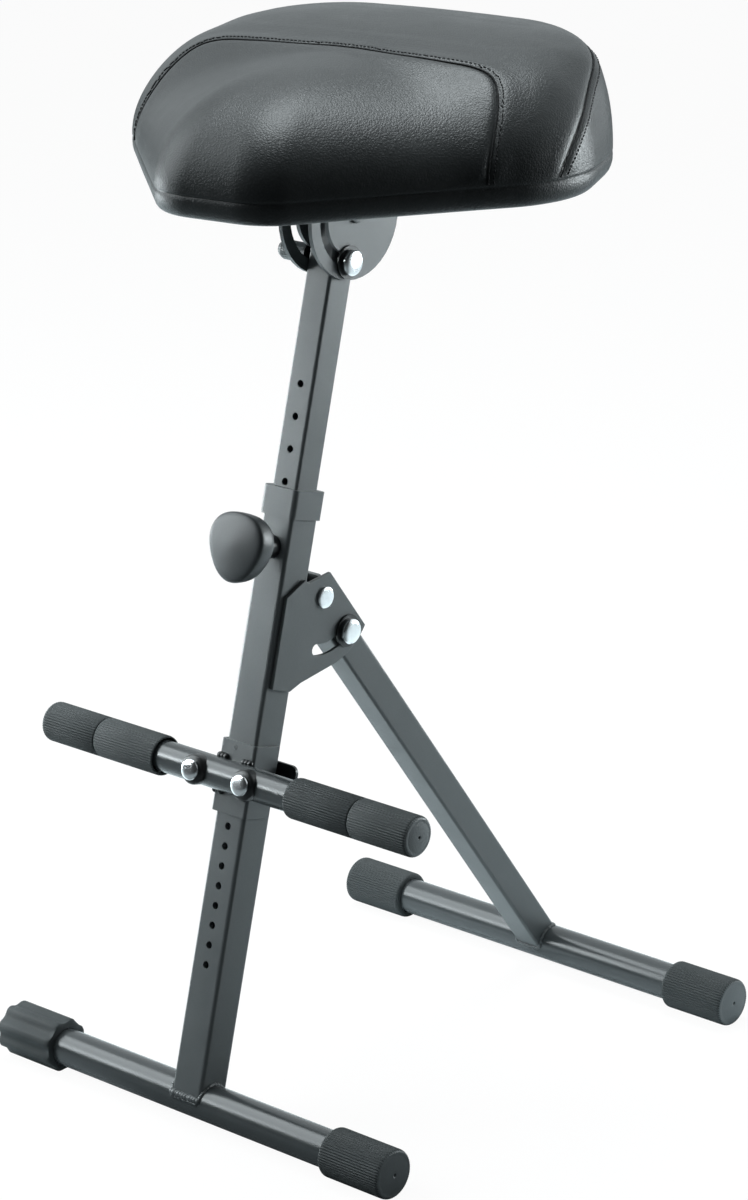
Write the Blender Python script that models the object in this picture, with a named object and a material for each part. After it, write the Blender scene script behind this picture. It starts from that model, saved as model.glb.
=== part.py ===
# Folding musician stool: leaning column on two feet, sliding post, tilting seat, sliding footrest.
# Metres, +Z up, the front of the stool towards -Y, origin on the floor under the middle of the base.

import math

import bmesh
import bpy
from mathutils import Vector

for old in list(bpy.data.objects):
    bpy.data.objects.remove(old, do_unlink=True)

# Fits between neighbouring pieces
GAP = 0.0003
HOLE_PLAY = 0.0003
SLOT_PLAY = 0.0005

# How far a cutter passes through what it cuts
CUT_PAST = 0.002

# Facets round a tube, a bolt, a small hole and the knob
ROUND_SIDES = 24
BOLT_SIDES = 16
HOLE_SIDES = 12
KNOB_SIDES = 30

# Feet
FOOT_DIAMETER = 0.030
FOOT_WALL = 0.002
FRONT_FOOT_HALF = 0.200
REAR_FOOT_HALF = 0.202
CAP_DIAMETER = 0.0392
CAP_LENGTH = 0.061
CAP_FLOOR = 0.0036
CAP_EASE = 0.0012
CAP_ROUND = 0.0036
LEVELLER_FLATS = 0.041
LEVELLER_LENGTH = 0.058
LEVELLER_FLOOR = 0.003

# Column, which leans back from the front foot
COLUMN_WIDTH = 0.030
COLUMN_WALL = 0.002
COLUMN_CORNER = 0.003
COLUMN_LEAN = math.radians(14.12)
COLUMN_FOOT = 0.004
COLUMN_TOP = 0.479
COLLAR_WALL = 0.0019
COLLAR_HEIGHT = 0.020
COLLAR_LIP = 0.0022
COLLAR_CORNER = 0.004
REST_HOLE = 0.006
REST_HOLE_FIRST = 0.1077
REST_HOLE_PITCH = 0.01566
REST_HOLE_COUNT = 11

# Rear leg and its fold joint
LEG_CLEARANCE = 0.0025
LEG_WALL = 0.002
LEG_CORNER = 0.0025
LEG_LENGTH = 0.476
LEG_FOOT = 0.006
LEG_HEAD = 0.011
FOLD_STANDOFF = 0.0183
FOLD_UP = 0.4001
STOP_RADIUS = 0.0413
GUSSET_SHEET = 0.003
GUSSET_LOBE = 0.0575
GUSSET_LOBE_START = math.radians(-22.0)
GUSSET_LOBE_END = math.radians(-67.5)
GUSSET_FRONT = -0.0431
GUSSET_LOW = -0.0721
GUSSET_HIGH = -0.0011
GUSSET_NECK = (-0.0253, 0.0129)
GUSSET_NOTCH = (-0.0203, 0.0109)
GUSSET_PEAK = (0.0023, 0.0196)
GUSSET_HIP = (-0.0119, -0.0672)
GUSSET_HEEL = (-0.0229, -0.0741)
RIVET_SHANK = 0.008
RIVET_HEAD = 0.017
RIVET_HEIGHT = 0.0022
SPACER_DIAMETER = 0.016

# Bolts with a cap nut, a plain head and two washers
BOLT_SHANK = 0.008
BOLT_HEAD = 0.016
STOP_HEAD_HEIGHT = 0.0055
TILT_HEAD_HEIGHT = 0.031
HEAD_ROUND = 0.004
WASHER_DIAMETER = 0.026
WASHER_SHEET = 0.0015
NUT_DIAMETER = 0.020
NUT_HEIGHT = 0.0052
NUT_DEPTH = 0.0034

# Post that slides in the column
POST_PLAY = 0.0005
POST_WALL = 0.002
POST_CORNER = 0.0025
POST_FOOT = 0.230
POST_HEAD = 0.008
POST_HOLE = 0.006
POST_HOLE_PITCH = 0.025
POST_HOLES_BELOW = 7
POST_HOLES_ABOVE = 5

# Lock pin and knob in front of the column
LOCK_UP = 0.4355
BUSH_DIAMETER = 0.018
BUSH_LENGTH = 0.0227
PIN_SHANK = 0.008
PIN_TIP = 0.0054
PIN_TIP_LENGTH = 0.004
KNOB_RADIUS = 0.0268
KNOB_LOBE = 0.0014
KNOB_LOBES = 3
KNOB_CLEARANCE = 0.001
KNOB_LENGTH = 0.023
KNOB_BORE = 0.0133

# Tilt bracket under the seat
TILT_UP = 0.6913
TILT_RIVET_HEAD = 0.0105
TILT_SLOT_RADIUS = 0.0345
TILT_SWING = math.radians(75.88)
CHEEK_RADIUS = 0.0485
CHEEK_PLAY = 0.0008
CHEEK_SHEET = 0.0035
PLATE_UNDER = 0.0235
PLATE_SHEET = 0.0035
PLATE_WIDTH = 0.100
PLATE_CORNER = 0.006
SCREW_SHANK = 0.005
SCREW_HEAD = 0.010
SCREW_HEAD_HEIGHT = 0.0024
SCREW_LENGTH = 0.0105
SCREW_POINT = 0.002
SCREW_ACROSS = 0.038
SCREW_ALONG = 0.034

# Seat, measured from the tilt pivot; its outline goes round six circles (across, ahead, radius)
SEAT_TURN = math.radians(10.5)
SEAT_NOSE = (0.020, 0.128, 0.050)
SEAT_SHOULDER = (0.099, -0.0345, 0.0917)
SEAT_REAR = (0.0666, -0.072, 0.1127)
SEAT_POINTS = 56
BOARD_SHEET = 0.0095
BOARD_INSET = 0.012
COVER_BOTTOM = 0.027
COVER_INSET = 0.008
COVER_ROUND = 0.004
BAND_HEIGHT = 0.0455
BAND_GROOVE = 0.0014
SEAT_DOME = 0.0765
REAR_RISE = 0.073
NOSE_FULLNESS = 3.0
NOSE_SPREAD = 4.0
SIDE_FULLNESS = 1.95
REAR_FULLNESS = 20.0
REAR_SPREAD = 1.07

# Footrest
REST_UP = 0.2564
REST_STANDOFF = 0.0039
REST_DIAMETER = 0.025
REST_WALL = 0.002
REST_HALF = 0.186
GRIP_DIAMETER = 0.032
GRIP_START = 0.0685
GRIP_SEAM = 0.133
GRIP_END = 0.1915
GRIP_EASE = 0.0015
GRIP_ROUND = 0.0035
GRIP_GROOVE = 0.0006
BRACKET_BELOW = 0.0296
BRACKET_ABOVE = 0.0271
BRACKET_SHEET = 0.0025
BRACKET_BACK = 0.010
BRACKET_BEND = 0.0028
DOME_ACROSS = 0.026
DOME_DIAMETER = 0.0175
DOME_HEIGHT = 0.0062
DOME_SHANK = 0.006
SADDLE_DIAMETER = 0.021
SADDLE_HEIGHT = 0.0078
CLAMP_BELOW = 0.0124
CLAMP_ABOVE = 0.0141
CLAMP_HALF = 0.033
CLAMP_CORNER = 0.006
CLAMP_SHEET = 0.003
CLAMP_GAP = 0.0005
BOLT_TAIL = 0.002

# Places that follow from the sizes above
FOOT_RADIUS = FOOT_DIAMETER / 2
CAP_RADIUS = CAP_DIAMETER / 2
COLUMN_HALF = COLUMN_WIDTH / 2
LEG_WIDTH = COLUMN_WIDTH - 2 * LEG_CLEARANCE
LEG_HALF = LEG_WIDTH / 2
POST_WIDTH = COLUMN_WIDTH - 2 * COLUMN_WALL - 2 * POST_PLAY
POST_HALF = POST_WIDTH / 2
LEVELLER_OFFSET = LEVELLER_FLATS / 2 - CAP_RADIUS
FOLD_BACK = COLUMN_HALF + FOLD_STANDOFF
KNOB_BACK = COLUMN_HALF + GAP + BUSH_LENGTH + KNOB_CLEARANCE
REST_RADIUS = REST_DIAMETER / 2
FOLD_DROP = FOLD_UP * math.cos(COLUMN_LEAN) - FOLD_BACK * math.sin(COLUMN_LEAN)
FOLD_Y = FOLD_UP * math.sin(COLUMN_LEAN) + FOLD_BACK * math.cos(COLUMN_LEAN)
LEG_ANGLE = math.acos(FOLD_DROP / LEG_LENGTH)
BASE_DEPTH = FOLD_Y + LEG_LENGTH * math.sin(LEG_ANGLE)
FRONT_Y = (LEVELLER_FLATS / 2 - CAP_RADIUS - BASE_DEPTH) / 2
STOP_REST = COLUMN_LEAN + LEG_ANGLE - math.pi / 2
STOP_FOLDED = -math.pi / 2
GUSSET_INSIDE = COLUMN_HALF + GAP
GUSSET_OUTSIDE = GUSSET_INSIDE + GUSSET_SHEET
CHEEK_INSIDE = POST_HALF + CHEEK_PLAY
CHEEK_OUTSIDE = CHEEK_INSIDE + CHEEK_SHEET
TILT_BOLT_ANGLE = -math.pi / 2 - COLUMN_LEAN
BOARD_UNDER = PLATE_UNDER + PLATE_SHEET + GAP
BRACKET_INSIDE = COLUMN_HALF + GAP
BRACKET_OUTSIDE = BRACKET_INSIDE + BRACKET_SHEET
REST_FRONT = BRACKET_OUTSIDE + REST_STANDOFF
SADDLE_FRONT = REST_FRONT + REST_RADIUS + SADDLE_HEIGHT


def material(name, colour, roughness, metallic):
    made = bpy.data.materials.new(name)
    made.use_nodes = True
    shader = made.node_tree.nodes["Principled BSDF"]
    shader.inputs["Base Color"].default_value = (*colour, 1.0)
    shader.inputs["Roughness"].default_value = roughness
    shader.inputs["Metallic"].default_value = metallic
    return made


COATED = material("coated_steel", (0.045, 0.05, 0.05), 0.45, 0.3)
CHROME = material("chrome", (0.8, 0.8, 0.8), 0.12, 1.0)
BLACK = material("black_plastic", (0.015, 0.016, 0.016), 0.55, 0.0)
RUBBER = material("ribbed_rubber", (0.02, 0.022, 0.022), 0.8, 0.0)
PLYWOOD = material("seat_board", (0.03, 0.026, 0.022), 0.8, 0.0)
COVER = material("seat_cover", (0.018, 0.02, 0.02), 0.4, 0.0)


def frame(name, location, turn=(0.0, 0.0, 0.0), parent=None):
    empty = bpy.data.objects.new(name, None)
    bpy.context.scene.collection.objects.link(empty)
    empty.location = location
    empty.rotation_euler = turn
    empty.parent = parent
    return empty


# In the column's frame x is across, y is behind the column and z is along it.
column = frame("column_axis", (0.0, FRONT_Y, CAP_RADIUS), (-COLUMN_LEAN, 0.0, 0.0))
fold = frame("fold_axis", (0.0, FOLD_BACK, FOLD_UP), (COLUMN_LEAN + LEG_ANGLE, 0.0, 0.0), column)
tilt = frame("tilt_axis", (0.0, 0.0, TILT_UP), (COLUMN_LEAN, 0.0, 0.0), column)
seat = frame("seat_axis", (0.0, 0.0, 0.0), (0.0, 0.0, SEAT_TURN), tilt)
lock = frame("lock_axis", (0.0, 0.0, LOCK_UP), (0.0, 0.0, 0.0), column)
rest = frame("footrest_axis", (0.0, -REST_FRONT, REST_UP), (0.0, 0.0, 0.0), column)
front_foot = frame("front_foot_axis", (0.0, FRONT_Y, CAP_RADIUS))
rear_foot = frame("rear_foot_axis", (0.0, 0.0, -LEG_LENGTH), (-LEG_ANGLE, 0.0, 0.0), fold)


def piece(name, shape, look, parent, smooth_below=35.0):
    bmesh.ops.recalc_face_normals(shape, faces=shape.faces)
    mesh = bpy.data.meshes.new(name)
    shape.to_mesh(mesh)
    shape.free()
    mesh.materials.append(look)
    mesh.shade_smooth()
    mesh.set_sharp_from_angle(angle=math.radians(smooth_below))
    made = bpy.data.objects.new(name, mesh)
    bpy.context.scene.collection.objects.link(made)
    made.parent = parent
    return made


def helper(name, shape, parent):
    made = piece(name, shape, COATED, parent)
    made.hide_render = True
    made.display_type = "WIRE"
    return made


def combine(target, shape, operation="DIFFERENCE", parent=None):
    tool = helper(f"{target.name}_tool_{len(target.modifiers)}", shape, parent or target.parent)
    modifier = target.modifiers.new("shape", "BOOLEAN")
    modifier.operation = operation
    modifier.solver = "EXACT"
    modifier.object = tool


def arc(centre, radius, start, end, steps):
    points = []
    for index in range(steps + 1):
        angle = start + (end - start) * index / steps
        points.append((centre[0] + radius * math.cos(angle), centre[1] + radius * math.sin(angle)))
    return points


def rounded_box(half_u, half_v, radius, steps=3):
    points = []
    for quarter in range(4):
        start = quarter * math.pi / 2
        middle = start + math.pi / 4
        centre_u = math.copysign(half_u - radius, math.cos(middle))
        centre_v = math.copysign(half_v - radius, math.sin(middle))
        points += arc((centre_u, centre_v), radius, start, start + math.pi / 2, steps)
    return points


def moved(points, along_u, along_v):
    return [(u + along_u, v + along_v) for u, v in points]


def curved_slot(radius, width, start, end, steps=8):
    outer = arc((0.0, 0.0), radius + width / 2, start, end, steps)
    inner = arc((0.0, 0.0), radius - width / 2, end, start, steps)
    end_middle = (radius * math.cos(end), radius * math.sin(end))
    start_middle = (radius * math.cos(start), radius * math.sin(start))
    way = math.copysign(math.pi, end - start)
    end_cap = arc(end_middle, width / 2, end, end + way, 6)[1:-1]
    start_cap = arc(start_middle, width / 2, start + way, start + 2 * way, 6)[1:-1]
    return outer + end_cap + inner + start_cap


PLANES = {
    "X": lambda u, v, w: (w, u, v),
    "Y": lambda u, v, w: (u, w, v),
    "Z": lambda u, v, w: (u, v, w),
}


def extrude(outline, low, high, axis):
    shape = bmesh.new()
    place = PLANES[axis]
    base = [shape.verts.new(place(u, v, low)) for u, v in outline]
    top = [shape.verts.new(place(u, v, high)) for u, v in outline]
    shape.faces.new(base)
    shape.faces.new(top)
    for index in range(len(outline)):
        after = (index + 1) % len(outline)
        shape.faces.new((base[index], base[after], top[after], top[index]))
    return shape


def turned(profile, axis, segments=ROUND_SIDES, ring=False, scale=None):
    # The profile is a list of (along, radius); a radius of 0 closes an end.
    shape = bmesh.new()
    place = PLANES[axis]
    rings = []
    for along, radius in profile:
        if radius == 0.0:
            rings.append([shape.verts.new(place(0.0, 0.0, along))])
            continue
        circle = []
        for index in range(segments):
            angle = 2 * math.pi * (index + 0.5) / segments
            reach = radius * (scale(angle) if scale else 1.0)
            circle.append(shape.verts.new(place(reach * math.cos(angle), reach * math.sin(angle), along)))
        rings.append(circle)
    pairs = list(zip(rings, rings[1:]))
    if ring:
        pairs.append((rings[-1], rings[0]))
    for first, second in pairs:
        for index in range(segments):
            after = (index + 1) % segments
            corners = [first[index % len(first)], first[after % len(first)]]
            corners += [second[after % len(second)], second[index % len(second)]]
            shape.faces.new(list(dict.fromkeys(corners)))
    return shape


def rod(radius, low, high, axis, segments=BOLT_SIDES):
    return turned([(low, 0.0), (low, radius), (high, radius), (high, 0.0)], axis, segments)


def pipe(radius, bore, low, high, axis, segments=ROUND_SIDES):
    profile = [(low, bore), (low, radius), (high, radius), (high, bore)]
    return turned(profile, axis, segments, ring=True)


def square_tube(half, wall, corner, low, high):
    shape = bmesh.new()
    outline = rounded_box(half, half, corner)
    inline = rounded_box(half - wall, half - wall, max(corner - wall, GAP))
    loops = []
    for points, height in ((outline, low), (outline, high), (inline, high), (inline, low)):
        loops.append([shape.verts.new((u, v, height)) for u, v in points])
    count = len(outline)
    for step in range(4):
        first = loops[step]
        second = loops[(step + 1) % 4]
        for index in range(count):
            after = (index + 1) % count
            shape.faces.new((first[index], first[after], second[after], second[index]))
    return shape


def shifted(shape, offset):
    bmesh.ops.translate(shape, verts=shape.verts, vec=Vector(offset))
    return shape


def joined(shapes):
    whole = bmesh.new()
    for shape in shapes:
        mesh = bpy.data.meshes.new("joined")
        shape.to_mesh(mesh)
        shape.free()
        whole.from_mesh(mesh)
        bpy.data.meshes.remove(mesh)
    return whole


def facet_radius(apothem, segments):
    return apothem / math.cos(math.pi / segments)


# Feet and their caps
def foot_cap(name, start, tube_end, side, parent):
    radius = facet_radius(CAP_RADIUS, ROUND_SIDES)
    bore = FOOT_RADIUS + GAP
    floor = tube_end + GAP
    end = start + CAP_LENGTH
    profile = [
        (floor, 0.0),
        (floor, bore),
        (start, bore),
        (start, radius - CAP_EASE),
        (start + CAP_EASE, radius),
        (end - CAP_ROUND, radius),
        (end - CAP_ROUND / 4, radius - CAP_ROUND / 2),
        (end, radius - CAP_ROUND),
        (end, 0.0),
    ]
    shape = turned([(side * along, reach) for along, reach in profile], "X")
    piece(name, shape, RUBBER, parent)


def leveller():
    # The bore is off the octagon's middle, so each flat stands the foot at its own height.
    half = LEVELLER_FLATS / 2
    start = FRONT_FOOT_HALF + LEVELLER_FLOOR - LEVELLER_LENGTH
    reach = facet_radius(half, 8)
    corners = arc((0.0, LEVELLER_OFFSET), reach, math.pi / 8, 2 * math.pi + math.pi / 8, 8)[:-1]
    shape = extrude(corners, -start - LEVELLER_LENGTH, -start, "X")
    body = piece("leveller_cap", shape, RUBBER, front_foot)
    combine(body, rod(FOOT_RADIUS + GAP, -FRONT_FOOT_HALF - GAP, -start + CUT_PAST, "X", ROUND_SIDES))


def feet():
    bore = FOOT_RADIUS - FOOT_WALL
    front_tube = pipe(FOOT_RADIUS, bore, -FRONT_FOOT_HALF, FRONT_FOOT_HALF, "X")
    rear_tube = pipe(FOOT_RADIUS, bore, -REAR_FOOT_HALF, REAR_FOOT_HALF, "X")
    piece("front_foot_tube", front_tube, COATED, front_foot)
    piece("rear_foot_tube", rear_tube, COATED, rear_foot)
    front_start = FRONT_FOOT_HALF + CAP_FLOOR - CAP_LENGTH
    rear_start = REAR_FOOT_HALF + CAP_FLOOR - CAP_LENGTH
    foot_cap("front_right_cap", front_start, FRONT_FOOT_HALF, 1, front_foot)
    foot_cap("rear_right_cap", rear_start, REAR_FOOT_HALF, 1, rear_foot)
    foot_cap("rear_left_cap", rear_start, REAR_FOOT_HALF, -1, rear_foot)
    leveller()


# Column, collar and gussets
def outer_column():
    tube = square_tube(COLUMN_HALF, COLUMN_WALL, COLUMN_CORNER, COLUMN_FOOT, COLUMN_TOP)
    body = piece("outer_column", tube, COATED, column)
    holes = []
    for index in range(REST_HOLE_COUNT):
        hole = rod(REST_HOLE / 2, -COLUMN_WIDTH, COLUMN_WIDTH, "Y", HOLE_SIDES)
        holes.append(shifted(hole, (0.0, 0.0, REST_HOLE_FIRST + index * REST_HOLE_PITCH)))
    pin_hole = rod(PIN_TIP / 2 + 2 * HOLE_PLAY, -COLUMN_WIDTH, 0.0, "Y", HOLE_SIDES)
    holes.append(shifted(pin_hole, (0.0, 0.0, LOCK_UP)))
    combine(body, joined(holes))
    combine(body, rod(FOOT_RADIUS + GAP, -COLUMN_WIDTH, COLUMN_WIDTH, "X", ROUND_SIDES))


def collar():
    low = COLUMN_TOP - COLLAR_HEIGHT
    high = COLUMN_TOP + COLLAR_LIP
    half = COLUMN_HALF + GAP + COLLAR_WALL
    shape = extrude(rounded_box(half, half, COLLAR_CORNER), low, high, "Z")
    body = piece("column_collar", shape, BLACK, column)
    seat_half = COLUMN_HALF + GAP
    throat_half = POST_HALF + GAP
    seat_outline = rounded_box(seat_half, seat_half, COLUMN_CORNER)
    seat_cut = extrude(seat_outline, low - CUT_PAST, COLUMN_TOP + GAP, "Z")
    throat_outline = rounded_box(throat_half, throat_half, POST_CORNER)
    throat_cut = extrude(throat_outline, low, high + CUT_PAST, "Z")
    combine(body, seat_cut)
    combine(body, throat_cut)


def gusset_outline():
    # Corners are measured from the fold pivot, behind it and above it.
    corners = [
        (GUSSET_FRONT, GUSSET_LOW),
        (GUSSET_FRONT, GUSSET_HIGH),
        GUSSET_NECK,
        GUSSET_NOTCH,
        GUSSET_PEAK,
        *arc((0.0, 0.0), GUSSET_LOBE, GUSSET_LOBE_START, GUSSET_LOBE_END, 8),
        GUSSET_HIP,
        GUSSET_HEEL,
    ]
    return moved(corners, FOLD_BACK, FOLD_UP)


def gusset(name, side):
    inside = side * GUSSET_INSIDE
    outside = side * GUSSET_OUTSIDE
    body = piece(name, extrude(gusset_outline(), inside, outside, "X"), COATED, column)
    slot = curved_slot(STOP_RADIUS, BOLT_SHANK + 2 * SLOT_PLAY, STOP_REST, STOP_FOLDED)
    cut_in = side * (GUSSET_INSIDE - CUT_PAST)
    cut_out = side * (GUSSET_OUTSIDE + CUT_PAST)
    slot_cut = extrude(moved(slot, FOLD_BACK, FOLD_UP), cut_in, cut_out, "X")
    rivet_cut = rod(RIVET_SHANK / 2 + HOLE_PLAY, cut_in, cut_out, "X")
    combine(body, joined([slot_cut, shifted(rivet_cut, (0.0, FOLD_BACK, FOLD_UP))]))


def rivet(name, half, head, height, parent):
    shank = RIVET_SHANK / 2
    dome = [(0.0, 1.0), (0.5, 0.97), (0.85, 0.8), (0.97, 0.45)]
    right = [(half + height * rise, head / 2 * reach) for rise, reach in dome]
    left = [(-along, reach) for along, reach in reversed(right)]
    ends = [(-half - height, 0.0), *left, (-half, shank), (half, shank), *right, (half + height, 0.0)]
    piece(name, turned(ends, "X", BOLT_SIDES), CHROME, parent)


def spacer(name, side):
    low = LEG_HALF + GAP
    high = GUSSET_INSIDE - GAP
    ring = pipe(SPACER_DIAMETER / 2, RIVET_SHANK / 2 + HOLE_PLAY, side * low, side * high, "X", BOLT_SIDES)
    piece(name, shifted(ring, (0.0, FOLD_BACK, FOLD_UP)), BLACK, column)


# A bolt along X through two cheeks: head on the left, cap nut on the right, a washer on each side
def bolt_set(name, cheek, head_height, offset, parent):
    washer_out = cheek + GAP + WASHER_SHEET
    nut_start = washer_out + GAP
    shank = BOLT_SHANK / 2
    head = BOLT_HEAD / 2
    tip = nut_start + NUT_DEPTH - GAP
    bolt = [
        (-nut_start - head_height, 0.0),
        (-nut_start - head_height, head * 0.72),
        (-nut_start - head_height + HEAD_ROUND, head * 0.97),
        (-nut_start, head),
        (-nut_start, shank),
        (tip, shank),
        (tip, 0.0),
    ]
    piece(f"{name}_bolt", shifted(turned(bolt, "X", BOLT_SIDES), offset), CHROME, parent)
    reach = NUT_DIAMETER / 2
    bore = shank + HOLE_PLAY
    nut = [
        (nut_start + NUT_DEPTH, 0.0),
        (nut_start + NUT_DEPTH, bore),
        (nut_start, bore),
        (nut_start, reach),
        (nut_start + NUT_HEIGHT * 0.5, reach),
        (nut_start + NUT_HEIGHT * 0.8, reach * 0.92),
        (nut_start + NUT_HEIGHT * 0.96, reach * 0.6),
        (nut_start + NUT_HEIGHT, 0.0),
    ]
    piece(f"{name}_nut", shifted(turned(nut, "X", BOLT_SIDES), offset), CHROME, parent)
    for side, word in ((-1, "left"), (1, "right")):
        ring = pipe(WASHER_DIAMETER / 2, bore, side * (cheek + GAP), side * washer_out, "X", BOLT_SIDES)
        piece(f"{name}_washer_{word}", shifted(ring, offset), BLACK, parent)


def fold_joint():
    pin = frame("fold_pin_axis", (0.0, FOLD_BACK, FOLD_UP), (0.0, 0.0, 0.0), column)
    rivet("fold_pivot_rivet", GUSSET_OUTSIDE + GAP, RIVET_HEAD, RIVET_HEIGHT, pin)
    for side, word in ((-1, "left"), (1, "right")):
        gusset(f"{word}_gusset", side)
        spacer(f"fold_spacer_{word}", side)


# Rear leg, modelled along its own axis with the fold pivot at its origin
def rear_leg():
    tube = square_tube(LEG_HALF, LEG_WALL, LEG_CORNER, -LEG_LENGTH + LEG_FOOT, LEG_HEAD)
    body = piece("rear_leg_tube", tube, COATED, fold)
    pivot_hole = rod(RIVET_SHANK / 2 + HOLE_PLAY, -LEG_WIDTH, LEG_WIDTH, "X")
    stop_hole = rod(BOLT_SHANK / 2 + HOLE_PLAY, -LEG_WIDTH, LEG_WIDTH, "X")
    foot_cut = rod(FOOT_RADIUS + GAP, -LEG_WIDTH, LEG_WIDTH, "X", ROUND_SIDES)
    cuts = [pivot_hole]
    cuts.append(shifted(stop_hole, (0.0, 0.0, -STOP_RADIUS)))
    cuts.append(shifted(foot_cut, (0.0, 0.0, -LEG_LENGTH)))
    combine(body, joined(cuts))
    bolt_set("fold_stop", GUSSET_OUTSIDE, STOP_HEAD_HEIGHT, (0.0, 0.0, -STOP_RADIUS), fold)


# Sliding post and the pins through its head
def inner_post():
    tube = square_tube(POST_HALF, POST_WALL, POST_CORNER, POST_FOOT, TILT_UP + POST_HEAD)
    body = piece("inner_post", tube, COATED, column)
    cuts = []
    for index in range(-POST_HOLES_BELOW, POST_HOLES_ABOVE + 1):
        hole = rod(POST_HOLE / 2, -POST_WIDTH, 0.0, "Y", HOLE_SIDES)
        cuts.append(shifted(hole, (0.0, 0.0, LOCK_UP + index * POST_HOLE_PITCH)))
    rivet_hole = rod(RIVET_SHANK / 2 + HOLE_PLAY, -POST_WIDTH, POST_WIDTH, "X")
    bolt_hole = rod(BOLT_SHANK / 2 + HOLE_PLAY, -POST_WIDTH, POST_WIDTH, "X")
    cuts.append(shifted(rivet_hole, (0.0, 0.0, TILT_UP)))
    cuts.append(shifted(bolt_hole, (0.0, 0.0, TILT_UP - TILT_SLOT_RADIUS)))
    combine(body, joined(cuts))
    pin = frame("tilt_pin_axis", (0.0, 0.0, TILT_UP), (0.0, 0.0, 0.0), column)
    rivet("tilt_pivot_rivet", CHEEK_OUTSIDE + GAP, TILT_RIVET_HEAD, RIVET_HEIGHT, pin)
    bolt_set("tilt_clamp", CHEEK_OUTSIDE, TILT_HEAD_HEIGHT, (0.0, 0.0, -TILT_SLOT_RADIUS), pin)


# Lock: a bush on the column, a pin that pulls out of it and a knob on the pin
def lock_parts():
    bush_back = -COLUMN_HALF - GAP
    bore = PIN_SHANK / 2 + HOLE_PLAY
    bush = pipe(BUSH_DIAMETER / 2, bore, bush_back, bush_back - BUSH_LENGTH, "Y")
    piece("lock_bush", bush, BLACK, lock)
    tip = -POST_HALF - GAP
    shoulder = tip - PIN_TIP_LENGTH
    pin_end = -KNOB_BACK - KNOB_BORE + GAP
    pin = [
        (tip, 0.0),
        (tip, PIN_TIP / 2),
        (shoulder, PIN_TIP / 2),
        (shoulder, PIN_SHANK / 2),
        (pin_end, PIN_SHANK / 2),
        (pin_end, 0.0),
    ]
    piece("lock_pin", turned(pin, "Y", BOLT_SIDES), CHROME, lock)
    side = [(0.0, 0.74), (0.05, 0.86), (0.16, 0.94), (0.40, 0.99), (0.62, 1.0), (0.76, 0.985), (0.86, 0.87)]
    crown = [(0.92, 0.62), (0.98, 0.32)]
    profile = [(-KNOB_BACK - KNOB_BORE, 0.0), (-KNOB_BACK - KNOB_BORE, bore), (-KNOB_BACK, bore)]
    profile += [(-KNOB_BACK - KNOB_LENGTH * depth, KNOB_RADIUS * reach) for depth, reach in side + crown]
    profile.append((-KNOB_BACK - KNOB_LENGTH, 0.0))

    def lobes(angle):
        return 1.0 + KNOB_LOBE / KNOB_RADIUS * math.cos(KNOB_LOBES * (angle + math.pi / 2))

    piece("lock_knob", turned(profile, "Y", KNOB_SIDES, scale=lobes), BLACK, lock)


# Tilt bracket: two cheeks with a round lower edge under one flat plate
def tilt_bracket():
    half = PLATE_WIDTH / 2
    plate_outline = rounded_box(half, CHEEK_RADIUS, PLATE_CORNER)
    plate = extrude(plate_outline, PLATE_UNDER, PLATE_UNDER + PLATE_SHEET, "Z")
    body = piece("tilt_bracket", plate, COATED, tilt)
    root = PLATE_UNDER + PLATE_SHEET / 2
    cheek = [(CHEEK_RADIUS, root), *arc((0.0, 0.0), CHEEK_RADIUS, 0.0, -math.pi, 20), (-CHEEK_RADIUS, root)]
    slot_end = TILT_BOLT_ANGLE - TILT_SWING
    slot = curved_slot(TILT_SLOT_RADIUS, BOLT_SHANK + 2 * SLOT_PLAY, TILT_BOLT_ANGLE, slot_end)
    for side in (-1, 1):
        combine(body, extrude(cheek, side * CHEEK_INSIDE, side * CHEEK_OUTSIDE, "X"), "UNION")
    cuts = [extrude(slot, -PLATE_WIDTH, PLATE_WIDTH, "X")]
    cuts.append(rod(RIVET_SHANK / 2 + HOLE_PLAY, -PLATE_WIDTH, PLATE_WIDTH, "X"))
    for across, along in SCREW_PLACES:
        hole = rod(SCREW_SHANK / 2 + HOLE_PLAY, PLATE_UNDER - CUT_PAST, BOARD_UNDER, "Z", HOLE_SIDES)
        cuts.append(shifted(hole, (across, along, 0.0)))
    combine(body, joined(cuts))


SCREW_PLACES = [(side * SCREW_ACROSS, end * SCREW_ALONG) for side in (-1, 1) for end in (-1, 1)]


def seat_screws():
    head_top = PLATE_UNDER - GAP
    head_low = head_top - SCREW_HEAD_HEIGHT
    tip = head_top + SCREW_LENGTH
    shank = SCREW_SHANK / 2
    profile = [
        (head_low, 0.0),
        (head_low, SCREW_HEAD * 0.36),
        (head_top - SCREW_HEAD_HEIGHT * 0.5, SCREW_HEAD * 0.49),
        (head_top, SCREW_HEAD / 2),
        (head_top, shank),
        (tip - SCREW_POINT, shank),
        (tip, 0.0),
    ]
    for number, (across, along) in enumerate(SCREW_PLACES, 1):
        screw = shifted(turned(profile, "Z", HOLE_SIDES), (across, along, 0.0))
        piece(f"seat_screw_{number}", screw, CHROME, tilt)


# Seat outline: how far the hull of its circles lies in a direction, counted from the nose
def seat_support(direction):
    ahead = math.cos(direction)
    across = abs(math.sin(direction))
    circles = (SEAT_NOSE, SEAT_SHOULDER, SEAT_REAR)
    return max(side * across + front * ahead + radius for side, front, radius in circles)


def seat_reach(angle):
    # The hull's edge on a ray from the pivot is the nearest of its tangent lines.
    leans = [math.radians(1.5 * step) for step in range(-46, 47)]
    return min(seat_support(angle + lean) / math.cos(lean) for lean in leans)


def seat_point(angle, reach, height):
    return (reach * math.sin(angle), -reach * math.cos(angle), height)


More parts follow.
